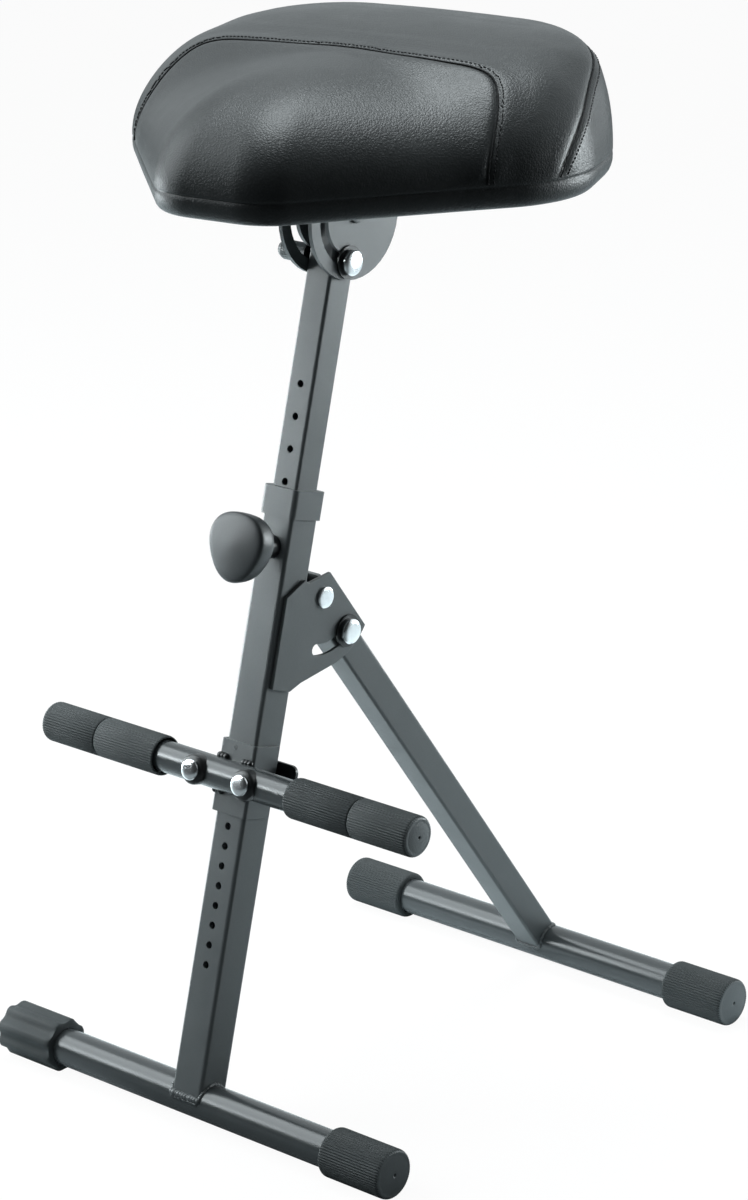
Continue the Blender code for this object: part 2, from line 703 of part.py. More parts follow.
def seat_board():
    angles = [2 * math.pi * index / SEAT_POINTS for index in range(SEAT_POINTS)]
    outline = [seat_point(angle, seat_reach(angle) - BOARD_INSET, 0.0)[:2] for angle in angles]
    body = piece("seat_board", extrude(outline, BOARD_UNDER, BOARD_UNDER + BOARD_SHEET, "Z"), PLYWOOD, seat)
    cuts = []
    for across, along in SCREW_PLACES:
        tip = PLATE_UNDER + SCREW_LENGTH
        hole = rod(SCREW_SHANK / 2 + HOLE_PLAY, BOARD_UNDER - CUT_PAST, tip, "Z", HOLE_SIDES)
        cuts.append(shifted(hole, (across, along, 0.0)))
    combine(body, joined(cuts), parent=tilt)


def cushion_height(angle, share):
    # A dome from the band line: round at the nose and the sides, fuller and higher at the rear
    ahead = math.cos(angle)
    fullness = SIDE_FULLNESS
    fullness += (NOSE_FULLNESS - SIDE_FULLNESS) * max(ahead, 0.0) ** NOSE_SPREAD
    fullness += (REAR_FULLNESS - SIDE_FULLNESS) * max(-ahead, 0.0) ** REAR_SPREAD
    dome = SEAT_DOME + REAR_RISE * max(-share * seat_reach(angle) * ahead, 0.0)
    return BAND_HEIGHT + dome * math.sqrt(1.0 - share ** fullness)


def cushion_section(angle):
    # One section from the hollow for the board, round the outside, to the crown
    edge = seat_reach(angle)
    hollow = edge - BOARD_INSET + GAP
    ceiling = BOARD_UNDER + BOARD_SHEET + GAP
    points = [(hollow * 0.5, ceiling), (hollow, ceiling), (hollow, COVER_BOTTOM)]
    points.append((edge - COVER_INSET, COVER_BOTTOM))
    points.append((edge - COVER_INSET * 0.3, COVER_BOTTOM + COVER_ROUND))
    points.append((edge, BAND_HEIGHT - COVER_ROUND))
    points.append((edge - BAND_GROOVE, BAND_HEIGHT))
    for share in (0.993, 0.972, 0.94, 0.89, 0.82, 0.72, 0.58, 0.40, 0.20):
        points.append((edge * share, cushion_height(angle, share)))
    return points


def seat_cushion():
    shape = bmesh.new()
    sections = []
    for index in range(SEAT_POINTS):
        angle = 2 * math.pi * index / SEAT_POINTS
        sections.append([shape.verts.new(seat_point(angle, *point)) for point in cushion_section(angle)])
    low = shape.verts.new((0.0, 0.0, BOARD_UNDER + BOARD_SHEET + GAP))
    high = shape.verts.new((0.0, 0.0, BAND_HEIGHT + SEAT_DOME))
    for index, section in enumerate(sections):
        after = sections[(index + 1) % SEAT_POINTS]
        shape.faces.new((low, after[0], section[0]))
        for step in range(len(section) - 1):
            shape.faces.new((section[step], after[step], after[step + 1], section[step + 1]))
        shape.faces.new((section[-1], after[-1], high))
    piece("seat_cushion", shape, COVER, seat, 60.0)


# Footrest: a bracket round the column, a bar across it and a clamp plate behind
def rest_bracket():
    half = BRACKET_OUTSIDE
    inner = BRACKET_INSIDE
    bend = BRACKET_BEND
    left_bend = arc((-half + bend, -half + bend), bend, math.pi, 1.5 * math.pi, 4)
    right_bend = arc((half - bend, -half + bend), bend, 1.5 * math.pi, 2 * math.pi, 4)
    outline = [(-half, BRACKET_BACK), *left_bend, *right_bend, (half, BRACKET_BACK)]
    outline += [(inner, BRACKET_BACK), (inner, -inner), (-inner, -inner), (-inner, BRACKET_BACK)]
    shape = extrude(outline, REST_UP - BRACKET_BELOW, REST_UP + BRACKET_ABOVE, "Z")
    piece("rest_bracket", shape, COATED, column)


def rest_bar():
    tube = pipe(REST_RADIUS, REST_RADIUS - REST_WALL, -REST_HALF, REST_HALF, "X")
    body = piece("rest_bar", tube, COATED, rest)
    cuts = []
    for side in (-1, 1):
        hole = rod(DOME_SHANK / 2 + HOLE_PLAY, -REST_DIAMETER, REST_DIAMETER, "Y", HOLE_SIDES)
        cuts.append(shifted(hole, (side * DOME_ACROSS, 0.0, 0.0)))
    notch_front = REST_FRONT - BRACKET_OUTSIDE - GAP
    notch_half = BRACKET_OUTSIDE + GAP
    notch = extrude(rounded_box(notch_half, REST_DIAMETER, BRACKET_BEND), notch_front, REST_DIAMETER, "Y")
    combine(body, joined(cuts + [notch]))


def rest_grips():
    radius = GRIP_DIAMETER / 2
    bore = REST_RADIUS + GAP
    floor = REST_HALF + GAP
    sleeve_end = GRIP_SEAM - GAP
    for side, word in ((-1, "left"), (1, "right")):
        sleeve = [
            (GRIP_START, bore),
            (GRIP_START, radius - GRIP_EASE),
            (GRIP_START + GRIP_EASE, radius),
            (sleeve_end - GRIP_GROOVE, radius),
            (sleeve_end, radius - GRIP_GROOVE),
            (sleeve_end, bore),
        ]
        sleeve_shape = turned([(side * along, reach) for along, reach in sleeve], "X", ring=True)
        piece(f"rest_grip_{word}", sleeve_shape, RUBBER, rest)
        end_cap = [
            (floor, 0.0),
            (floor, bore),
            (GRIP_SEAM, bore),
            (GRIP_SEAM, radius - GRIP_GROOVE),
            (GRIP_SEAM + GRIP_GROOVE, radius),
            (GRIP_END - GRIP_ROUND, radius),
            (GRIP_END - GRIP_ROUND / 4, radius - GRIP_ROUND / 2),
            (GRIP_END, radius - GRIP_ROUND),
            (GRIP_END, 0.0),
        ]
        cap_shape = turned([(side * along, reach) for along, reach in end_cap], "X")
        piece(f"rest_end_cap_{word}", cap_shape, RUBBER, rest)


def rest_bolts():
    # Along Y from the dome in front, through the saddle, the bar and the clamp plate
    head = REST_FRONT - SADDLE_FRONT - GAP
    shank = DOME_SHANK / 2
    dome = DOME_DIAMETER / 2
    tail = REST_FRONT + COLUMN_HALF + CLAMP_GAP + CLAMP_SHEET + BOLT_TAIL
    bolt = [
        (head - DOME_HEIGHT, 0.0),
        (head - DOME_HEIGHT * 0.96, dome * 0.3),
        (head - DOME_HEIGHT * 0.8, dome * 0.66),
        (head - DOME_HEIGHT * 0.45, dome * 0.92),
        (head, dome),
        (head, shank),
        (tail, shank),
        (tail, 0.0),
    ]
    for side, word in ((-1, "left"), (1, "right")):
        offset = (side * DOME_ACROSS, 0.0, 0.0)
        piece(f"rest_bolt_{word}", shifted(turned(bolt, "Y", BOLT_SIDES), offset), CHROME, rest)
        bore = shank + HOLE_PLAY
        saddle = pipe(SADDLE_DIAMETER / 2, bore, head + GAP, -REST_RADIUS * 0.4, "Y", BOLT_SIDES)
        body = piece(f"rest_saddle_{word}", shifted(saddle, offset), BLACK, rest)
        combine(body, rod(REST_RADIUS + GAP, side * CUT_PAST, side * GRIP_START, "X", ROUND_SIDES))


def clamp_plate():
    near = COLUMN_HALF + CLAMP_GAP
    middle = REST_UP + (CLAMP_ABOVE - CLAMP_BELOW) / 2
    outline = moved(rounded_box(CLAMP_HALF, (CLAMP_ABOVE + CLAMP_BELOW) / 2, CLAMP_CORNER, 5), 0.0, middle)
    body = piece("clamp_plate", extrude(outline, near, near + CLAMP_SHEET, "Y"), COATED, column)
    cuts = []
    for side in (-1, 1):
        far = near + CLAMP_SHEET + CUT_PAST
        hole = rod(DOME_SHANK / 2 + HOLE_PLAY, near - CUT_PAST, far, "Y", HOLE_SIDES)
        cuts.append(shifted(hole, (side * DOME_ACROSS, 0.0, REST_UP)))
    combine(body, joined(cuts))


feet()
outer_column()
collar()
fold_joint()
rear_leg()
inner_post()
lock_parts()
tilt_bracket()
seat_screws()
seat_board()
seat_cushion()
rest_bracket()
rest_bar()
rest_grips()
rest_bolts()
clamp_plate()
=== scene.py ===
import math
from types import SimpleNamespace

import bmesh
import bpy
import numpy as np
from mathutils import Matrix, Vector, kdtree
from mathutils.bvhtree import BVHTree


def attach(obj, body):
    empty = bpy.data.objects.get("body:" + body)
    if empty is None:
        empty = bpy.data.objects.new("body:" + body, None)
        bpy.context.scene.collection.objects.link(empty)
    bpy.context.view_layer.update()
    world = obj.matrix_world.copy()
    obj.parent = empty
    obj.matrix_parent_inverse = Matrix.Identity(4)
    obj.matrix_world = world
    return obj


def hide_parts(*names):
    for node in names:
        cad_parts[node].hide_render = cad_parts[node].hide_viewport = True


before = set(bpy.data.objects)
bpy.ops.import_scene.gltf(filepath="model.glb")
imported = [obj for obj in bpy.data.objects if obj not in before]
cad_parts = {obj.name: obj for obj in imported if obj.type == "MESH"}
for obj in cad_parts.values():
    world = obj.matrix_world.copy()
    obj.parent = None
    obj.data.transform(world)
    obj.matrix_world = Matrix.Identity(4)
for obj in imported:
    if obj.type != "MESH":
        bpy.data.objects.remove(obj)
scene = bpy.context.scene
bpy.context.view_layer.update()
print("frame loaded with", len(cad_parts), "nodes")


# Frames of the stool's own parts, from the floor up

stool = SimpleNamespace(
    lean=math.radians(14.12),
    frontY=-0.2079058,
    footUp=0.0196,
    legAngle=math.radians(37.0525),
    legLength=0.476,
    foldBack=0.0333,
    foldUp=0.4001,
    lockUp=0.4355,
    restFront=0.0217,
    restUp=0.2564,
    tiltUp=0.6913,
    seatTurn=math.radians(10.5),
)


def shift(x, y, z):
    return Matrix.Translation((x, y, z))


columnFrame = shift(0, stool.frontY, stool.footUp) @ Matrix.Rotation(-stool.lean, 4, "X")
foldFrame = columnFrame @ shift(0, stool.foldBack, stool.foldUp)
legFrame = foldFrame @ Matrix.Rotation(stool.lean + stool.legAngle, 4, "X")
lockFrame = columnFrame @ shift(0, 0, stool.lockUp)
restFrame = columnFrame @ shift(0, -stool.restFront, stool.restUp)
tiltPinFrame = columnFrame @ shift(0, 0, stool.tiltUp)
tiltFrame = tiltPinFrame @ Matrix.Rotation(stool.lean, 4, "X")
seatFrame = tiltFrame @ Matrix.Rotation(stool.seatTurn, 4, "Z")
frontFootFrame = shift(0, stool.frontY, stool.footUp)
rearFootFrame = legFrame @ shift(0, 0, -stool.legLength) @ Matrix.Rotation(-stool.legAngle, 4, "X")


# Node helpers

def makeNode(tree, kind, settings=None, links=()):
    node = tree.nodes.new(kind)
    for key, value in (settings or {}).items():
        setattr(node, key, value)
    for key, value in links:
        if isinstance(value, bpy.types.NodeSocket):
            tree.links.new(value, node.inputs[key])
        else:
            node.inputs[key].default_value = value
    return node


def addNode(tree, kind, settings=None, **values):
    # a value called i and a number goes to the input of that number
    links = [(int(key[1:]) if key[1:].isdigit() else key, value) for key, value in values.items()]
    return makeNode(tree, "ShaderNode" + kind, settings, links)


def mathNode(tree, operation, *values):
    return makeNode(tree, "ShaderNodeMath", {"operation": operation}, enumerate(values)).outputs[0]


def vectorMath(tree, operation, **values):
    return addNode(tree, "VectorMath", {"operation": operation}, **values).outputs


def mixColour(tree, factor, first, second, blend="MIX"):
    links = [(0, factor), (6, first), (7, second)]
    return makeNode(tree, "ShaderNodeMix", {"data_type": "RGBA", "blend_type": blend}, links).outputs[2]


# Shader groups

def shaderGroup(name, inputs):
    group = bpy.data.node_groups.new(name, "ShaderNodeTree")
    for label, kind, value in inputs:
        socket = group.interface.new_socket(label, in_out="INPUT", socket_type="NodeSocket" + kind)
        socket.default_value = value
    for label, kind in (("Color", "Color"), ("Roughness", "Float"), ("Height", "Float")):
        group.interface.new_socket(label, in_out="OUTPUT", socket_type="NodeSocket" + kind)
    return group, group.nodes.new("NodeGroupInput").outputs


def closeGroup(group, colour, rough, height):
    leave = group.nodes.new("NodeGroupOutput")
    for key, link in (("Color", colour), ("Roughness", rough), ("Height", height)):
        group.links.new(link, leave.inputs[key])
    return group


def noise(tree, place, scale, detail, roughness=0.5):
    return addNode(tree, "TexNoise", Vector=place, Scale=scale, Detail=detail, Roughness=roughness)


def shadeBy(tree, colour, tone):
    grey = addNode(tree, "CombineColor", i0=tone, i1=tone, i2=tone).outputs[0]
    return mixColour(tree, 1.0, colour, grey, "MULTIPLY")


coatLook = SimpleNamespace(cloudScale=38.0, cloudRough=0.6, speckAndPitShade=0.35, roughSpread=0.22)


def buildCoatGrain():
    # tiny pits of a baked coat, with cloudy tone and roughness; the tone follows the pits' height, as painted
    # shade in the hollows and painted light on the bumps
    inputs = [("Color", "Color", (0.1, 0.1, 0.1, 1)), ("Pit size", "Float", 1400.0)]
    inputs += [("Cloud", "Float", 0.2), ("Roughness", "Float", 0.45)]
    group, given = shaderGroup("coatGrain", inputs)
    place = addNode(group, "TexCoord").outputs["Object"]
    pits = noise(group, place, given["Pit size"], 2.0).outputs["Fac"]
    clouds = noise(group, place, coatLook.cloudScale, 4.0, coatLook.cloudRough).outputs["Fac"]
    centred = mathNode(group, "SUBTRACT", clouds, 0.5)
    tone = mathNode(group, "MULTIPLY_ADD", centred, given["Cloud"], 1.0)
    # painted shade and light: darker where the pits sink, lighter where they rise
    speckAndPitShade = mathNode(group, "MULTIPLY_ADD", mathNode(group, "SUBTRACT", pits, 0.5), coatLook.speckAndPitShade, tone)
    rough = mathNode(group, "MULTIPLY_ADD", centred, coatLook.roughSpread, given["Roughness"])
    return closeGroup(group, shadeBy(group, given["Color"], speckAndPitShade), rough, pits)


hideLook = SimpleNamespace(
    warpScale=260.0, warpPull=0.0014, creaseWidth=0.28, creaseHeight=0.6, creaseShadeTone=0.18,
    foldScale=150.0, foldRough=0.55, foldHeight=0.9, cloudScale=22.0, cloudTone=0.3,
    baseTone=0.86, roughSpread=0.16,
)


def buildHideGrain():
    # pebbled imitation leather: cells with creases between them, and longer soft wrinkles; the creases are
    # painted darker as painted shade
    size = hideLook
    inputs = [("Color", "Color", (0.02, 0.02, 0.02, 1)), ("Pebble size", "Float", 620.0)]
    inputs += [("Roughness", "Float", 0.4)]
    group, given = shaderGroup("hideGrain", inputs)
    place = addNode(group, "TexCoord").outputs["Object"]
    warp = noise(group, place, size.warpScale, 2.0).outputs["Color"]
    pull = vectorMath(group, "SCALE", i0=warp, Scale=size.warpPull)[0]
    moved = vectorMath(group, "ADD", i0=place, i1=pull)[0]
    pebble = given["Pebble size"]
    cells = addNode(group, "TexVoronoi", {"feature": "DISTANCE_TO_EDGE"}, Vector=moved, Scale=pebble)
    edges = addNode(group, "MapRange", {"interpolation_type": "SMOOTHSTEP"}, Value=cells.outputs["Distance"])
    edges.inputs["From Max"].default_value = size.creaseWidth
    crease = edges.outputs[0]
    fold = noise(group, place, size.foldScale, 3.0, size.foldRough).outputs["Fac"]
    folds = mathNode(group, "MULTIPLY", fold, size.foldHeight)
    height = mathNode(group, "MULTIPLY_ADD", crease, size.creaseHeight, folds)
    clouds = noise(group, place, size.cloudScale, 3.0).outputs["Fac"]
    centred = mathNode(group, "SUBTRACT", clouds, 0.5)
    cloudy = mathNode(group, "MULTIPLY_ADD", centred, size.cloudTone, size.baseTone)
    # painted shade: the creases between the pebbles are darker
    tone = mathNode(group, "MULTIPLY_ADD", crease, size.creaseShadeTone, cloudy)
    rough = mathNode(group, "MULTIPLY_ADD", centred, size.roughSpread, given["Roughness"])
    return closeGroup(group, shadeBy(group, given["Color"], tone), rough, height)


coatGrain = buildCoatGrain()
hideGrain = buildHideGrain()


def finish(name, group, values, look):
    made = bpy.data.materials.new(name)
    made.use_nodes = True
    tree = made.node_tree
    shader = tree.nodes["Principled BSDF"]
    grain = makeNode(tree, "ShaderNodeGroup", {"node_tree": group}, values.items()).outputs
    bump = addNode(tree, "Bump", Strength=look["bump"], Distance=look["depth"], Height=grain["Height"])
    links = (("Base Color", grain["Color"]), ("Roughness", grain["Roughness"]), ("Normal", bump.outputs[0]))
    for key, link in links:
        tree.links.new(link, shader.inputs[key])
    shader.inputs["Metallic"].default_value = look.get("metallic", 0.0)
    shader.inputs["Specular IOR Level"].default_value = look.get("specular", 0.5)
    return made


# Coats: tone, roughness, size of the pits, clouds, bump and its depth
coats = {
    "powderCoat": ((0.073, 0.080, 0.082, 1), 0.40, 1500.0, 0.25, 0.25, 0.0003),
    "footTubeCoat": ((0.044, 0.049, 0.051, 1), 0.20, 1500.0, 0.25, 0.2, 0.0003),
    "blackPlastic": ((0.022, 0.025, 0.027, 1), 0.46, 1100.0, 0.3, 0.35, 0.0003),
    "ribbedRubber": ((0.028, 0.033, 0.034, 1), 0.66, 900.0, 0.4, 0.5, 0.0004),
    "chromePlate": ((0.88, 0.89, 0.90, 1), 0.20, 300.0, 0.06, 0.03, 0.0002),
    # painted light: a copy of the rubber three times lighter for the end faces of caps and grips, which face
    # the light
    "smoothRubberPaintedLight": ((0.085, 0.094, 0.097, 1), 0.42, 900.0, 0.4, 0.25, 0.0003),
    "blackSteel": ((0.007, 0.008, 0.0085, 1), 0.38, 1200.0, 0.3, 0.2, 0.0003),
    # the seat board is made near black
    "nearBlackBoard": ((0.010, 0.010, 0.010, 1), 0.7, 260.0, 0.8, 0.5, 0.0005),
    # near black for the stitches' thread, and for the painted shade line along the seams
    "threadAndSeamShadeBlack": ((0.005, 0.0055, 0.006, 1), 0.8, 2600.0, 0.4, 0.5, 0.0003),
}


def coatFinish(name, **look):
    tone, rough, pit, cloud, bump, depth = coats[name]
    values = {"Color": tone, "Roughness": rough, "Pit size": pit, "Cloud": cloud}
    return finish(name, coatGrain, values, {"bump": bump, "depth": depth, **look})


steelCoat = coatFinish("powderCoat")
tubeCoat = coatFinish("footTubeCoat")
blackPlastic = coatFinish("blackPlastic")
rubberSkin = coatFinish("ribbedRubber", specular=0.35)
chromePlate = coatFinish("chromePlate", metallic=1.0)
paintedLightRubberEnd = coatFinish("smoothRubberPaintedLight")
blackSteel = coatFinish("blackSteel")
nearBlackBoardFinish = coatFinish("nearBlackBoard")
threadAndSeamShadeFinish = coatFinish("threadAndSeamShadeBlack", specular=0.2)
hideValues = {"Color": (0.012, 0.0136, 0.0141, 1), "Roughness": 0.40, "Pebble size": 430.0}
blackHide = finish("blackHide", hideGrain, hideValues, {"bump": 0.30, "depth": 0.0006, "specular": 0.28})
print("materials ready:", len(bpy.data.materials))


# Mesh helpers

def linked(name, data):
    piece = bpy.data.objects.new(name, data)
    scene.collection.objects.link(piece)
    return piece


def baked(piece):
    graph = bpy.context.evaluated_depsgraph_get()
    return bpy.data.meshes.new_from_object(piece.evaluated_get(graph), depsgraph=graph)


def meshPiece(name, shape, look, place=None, sharpAngle=35.0):
    if place is not None:
        bmesh.ops.transform(shape, matrix=place, verts=shape.verts)
    bmesh.ops.recalc_face_normals(shape, faces=shape.faces)
    mesh = bpy.data.meshes.new(name)
    shape.to_mesh(mesh)
    shape.free()
    mesh.materials.append(look)
    mesh.shade_smooth()
    mesh.set_sharp_from_angle(angle=math.radians(sharpAngle))
    return linked(name, mesh)


def settle(piece, body, slot, *nodes):
    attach(piece, body)
    if nodes:
        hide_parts(*nodes)
    return piece


axisPlace = {
    "X": lambda u, v, w: (w, u, v),
    "Y": lambda u, v, w: (u, w, v),
    "Z": lambda u, v, w: (u, v, w),
}


def joinRings(shape, rings, sides):
    # a ring of one point is a pole
    for first, second in zip(rings, rings[1:]):
        for index in range(sides):
            after = (index + 1) % sides
            corners = [first[index % len(first)], first[after % len(first)]]
            corners += [second[after % len(second)], second[index % len(second)]]
            shape.faces.new(list(dict.fromkeys(corners)))
    return shape


def turned(profile, axis, sides, closed=False, scale=None, shape=None):
    # profile runs (along, radius); a radius of 0 is a pole
    shape = shape or bmesh.new()
    place = axisPlace[axis]
    rings = []
    for row, (along, radius) in enumerate(profile):
        if radius == 0:
            rings.append([shape.verts.new(place(0, 0, along))])
            continue
        ring = []
        for index in range(sides):
            angle = 2 * math.pi * index / sides
            reach = radius * (scale(angle, row) if scale else 1.0)
            ring.append(shape.verts.new(place(reach * math.cos(angle), reach * math.sin(angle), along)))
        rings.append(ring)
    return joinRings(shape, rings + rings[:1] if closed else rings, sides)


def roundOver(along, radius, depth, drop, steps=6):
    # quarter round from the side of a turned piece on to its end
    points = []
    for step in range(steps + 1):
        angle = math.pi / 2 * step / steps
        points.append((along - depth * (1 - math.sin(angle)), radius - drop * (1 - math.cos(angle))))
    return points


# Plates and square tubes keep their solid's form, with eased edges

tubeEdges = {
    "outer_column": ("front_frame", 0.0003),
    "left_gusset": ("front_frame", 0.0006),
    "right_gusset": ("front_frame", 0.0006),
    "column_collar": ("front_frame", 0.0005, steelCoat, "black_plastic"),
    "rear_leg_tube": ("rear_leg", 0.0003),
    "inner_post": ("post", 0.0003),
    "tilt_bracket": ("seat", 0.0006),
    "rest_bracket": ("footrest", 0.0004),
    "clamp_plate": ("footrest", 0.0006, blackSteel, "coated_steel"),
    "lock_bush": ("front_frame", 0.0005, blackSteel, "black_plastic"),
    "seat_board": ("seat", 0.0008, nearBlackBoardFinish, "seat_board"),
}


easing = SimpleNamespace(weld=2e-6, flat=math.radians(1.0), sharp=math.radians(40), segments=2, profile=0.6)


def easeEdges(node, body, width, look=steelCoat, slot="coated_steel"):
    shape = bmesh.new()
    shape.from_mesh(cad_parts[node].data)
    bmesh.ops.remove_doubles(shape, verts=shape.verts, dist=easing.weld)
    bmesh.ops.dissolve_limit(shape, angle_limit=easing.flat, verts=shape.verts, edges=shape.edges)
    hinges = [edge for edge in shape.edges if edge.is_manifold]
    sharp = [edge for edge in hinges if edge.calc_face_angle(0.0) > easing.sharp]
    bmesh.ops.bevel(shape, geom=sharp, offset=width, segments=easing.segments, profile=easing.profile,
                    affect="EDGES", clamp_overlap=True)
    piece = meshPiece(node + ".eased", shape, look, None, 40.0)
    shading = piece.modifiers.new("evenShading", "WEIGHTED_NORMAL")
    shading.keep_sharp = True
    settle(piece, body, slot, node)


for node, values in tubeEdges.items():
    easeEdges(node, *values)
print("tubes and plates eased:", len(tubeEdges))


# Round tubes of the feet and the footrest

roundTubes = {
    "front_foot_tube": ("frontFoot", 0.200, 0.015, frontFootFrame, "front_frame"),
    "rear_foot_tube": ("rearFoot", 0.202, 0.015, rearFootFrame, "rear_leg"),
    "rest_bar": ("footrestBar", 0.186, 0.0125, restFrame, "footrest"),
}
tubeWall = 0.002
tubeSides = 72
for node, (name, half, outside, place, body) in roundTubes.items():
    inside = outside - tubeWall
    profile = [(-half, inside), (-half, outside), (0, outside), (half, outside), (half, inside), (0, inside)]
    tube = meshPiece(name, turned(profile, "X", tubeSides, True), tubeCoat, place, 40.0)
    settle(tube, body, "coated_steel", node)


# Small fasteners that stay as they are and take a finish

plainNodes = (
    (blackPlastic, "fold_spacer_left", "fold_spacer_right"),
    (blackSteel, "fold_stop_washer_left", "fold_stop_washer_right", "tilt_clamp_washer_left",
     "tilt_clamp_washer_right", "lock_pin"),
    (chromePlate, "fold_stop_bolt", "seat_screw_1", "seat_screw_2", "seat_screw_3", "seat_screw_4"),
    (steelCoat, "tilt_clamp_bolt"),
)
for look, node in [(look, node) for look, *nodes in plainNodes for node in nodes]:
    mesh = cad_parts[node].data
    mesh.materials.clear()
    mesh.materials.append(look)


# Rivets, cap nuts and dome-headed bolts

fixings = SimpleNamespace(
    gussetFace=0.0183, cheekFace=0.0171, play=0.0003, sides=48,
    rivetReach=0.0085, tiltReach=0.00525, rivetRise=0.0022, shank=0.004,
    nutReach=0.010, nutRise=0.0052, nutBore=0.0034, washer=0.0021,
    stopDown=0.0413, clampDown=0.0345,
    domeReach=0.0083, domeRise=0.0040, domeFace=-0.0162, domeTail=0.0427, domeShank=0.003,
    domeFlat=0.2, domeAcross=0.026, barReach=0.0125, saddleFoot=-0.0060, saddleBore=0.0033,
    saddleSide=((-0.0060, 0.0118), (-0.0132, 0.0118), (-0.0144, 0.0115), (-0.0153, 0.0108),
                   (-0.0159, 0.0099), (-0.0161, 0.0091)),
)


def domeProfile(base, reach, rise, flat=0.5, steps=14):
    # short wall, rolled rim and a low crown
    points = [(base, reach * 0.97), (base + rise * 0.06, reach)]
    for step in range(steps):
        angle = math.pi / 2 * step / steps
        lift = flat + (1 - flat) * math.sin(angle) ** 0.7
        points.append((base + rise * lift, reach * math.cos(angle) ** 0.55))
    return points + [(base + rise, 0)]


def rivetPiece(name, half, reach, place, body, node, look, slot):
    dome = domeProfile(half, reach, fixings.rivetRise)
    other = [(-along, radius) for along, radius in reversed(dome)]
    profile = other + [(-half, fixings.shank), (half, fixings.shank)] + dome
    piece = meshPiece(name, turned(profile, "X", fixings.sides), look, place, 50.0)
    settle(piece, body, slot, node)


def capNut(name, face, place, body, node):
    start = face + fixings.washer
    bore = fixings.shank + fixings.play
    depth = fixings.nutBore
    dome = domeProfile(start, fixings.nutReach, fixings.nutRise)
    profile = [(start + depth, 0), (start + depth, bore), (start, bore)] + dome
    piece = meshPiece(name, turned(profile, "X", fixings.sides), chromePlate, place, 50.0)
    settle(piece, body, "chrome", node)


rivetPiece("foldRivet", fixings.gussetFace + fixings.play, fixings.rivetReach, foldFrame,
           "front_frame", "fold_pivot_rivet", chromePlate, "chrome")
rivetPiece("tiltRivet", fixings.cheekFace + fixings.play, fixings.tiltReach, tiltPinFrame,
           "post", "tilt_pivot_rivet", steelCoat, "coated_steel")
stopPlace = legFrame @ shift(0, 0, -fixings.stopDown)
clampPlace = tiltPinFrame @ shift(0, 0, -fixings.clampDown)
capNut("foldStopNut", fixings.gussetFace, stopPlace, "rear_leg", "fold_stop_nut")
capNut("tiltClampNut", fixings.cheekFace, clampPlace, "post", "tilt_clamp_nut")


def domeBolt(word, place):
    face, tail, shank = fixings.domeFace, fixings.domeTail, fixings.domeShank
    dome = domeProfile(face, fixings.domeReach, fixings.domeRise, fixings.domeFlat)
    head = [(2 * face - along, radius) for along, radius in reversed(dome)]
    profile = head + [(face, shank), (tail, shank), (tail, 0)]
    bolt = meshPiece(word + "DomeBolt", turned(profile, "Y", fixings.sides), chromePlate, place, 50.0)
    settle(bolt, "footrest", "chrome", "rest_bolt_" + word)


def saddlePiece(word, place):
    # black collar whose foot follows the round of the bar
    side, bore, foot = fixings.saddleSide, fixings.saddleBore, fixings.saddleFoot
    profile = [(foot, bore), *side, (side[-1][0], bore)]
    shape = turned(profile, "Y", fixings.sides, True)
    for vert in shape.verts:
        if vert.co.y > foot - fixings.play:
            vert.co.y = min(vert.co.y, -math.sqrt(fixings.barReach ** 2 - vert.co.z ** 2))
    saddle = meshPiece(word + "Saddle", shape, blackSteel, place, 50.0)
    settle(saddle, "footrest", "coated_steel", "rest_saddle_" + word)


for side, word in ((-1, "left"), (1, "right")):
    place = restFrame @ shift(side * fixings.domeAcross, 0, 0)
    domeBolt(word, place)
    saddlePiece(word, place)
print("fasteners done")


# Ribbed caps and grips: a smooth turned body, with ribs raised by a node tree

def geometryTree(name, *inputs):
    tree = bpy.data.node_groups.new(name, "GeometryNodeTree")
    tree.interface.new_socket("Geometry", in_out="INPUT", socket_type="NodeSocketGeometry")
    for label, kind, value in (*inputs, ("Finish", "Material", None)):
        socket = tree.interface.new_socket(label, in_out="INPUT", socket_type="NodeSocket" + kind)
        if value is not None:
            socket.default_value = value
    tree.interface.new_socket("Geometry", in_out="OUTPUT", socket_type="NodeSocketGeometry")
    return tree, tree.nodes.new("NodeGroupInput").outputs


def geoNode(tree, kind, *links, **settings):
    return makeNode(tree, "GeometryNode" + kind, settings, links).outputs[0]


def evenPoints(tree, line, step):
    return geoNode(tree, "ResampleCurve", ("Curve", line), ("Length", step), mode="LENGTH")


def closeTree(tree, geometry, look, smooth=True):
    if smooth:
        geometry = geoNode(tree, "SetShadeSmooth", ("Geometry", geometry))
    real = geoNode(tree, "RealizeInstances", ("Geometry", geometry))
    painted = geoNode(tree, "SetMaterial", ("Geometry", real), ("Material", look))
    tree.links.new(painted, tree.nodes.new("NodeGroupOutput").inputs[0])
    return tree


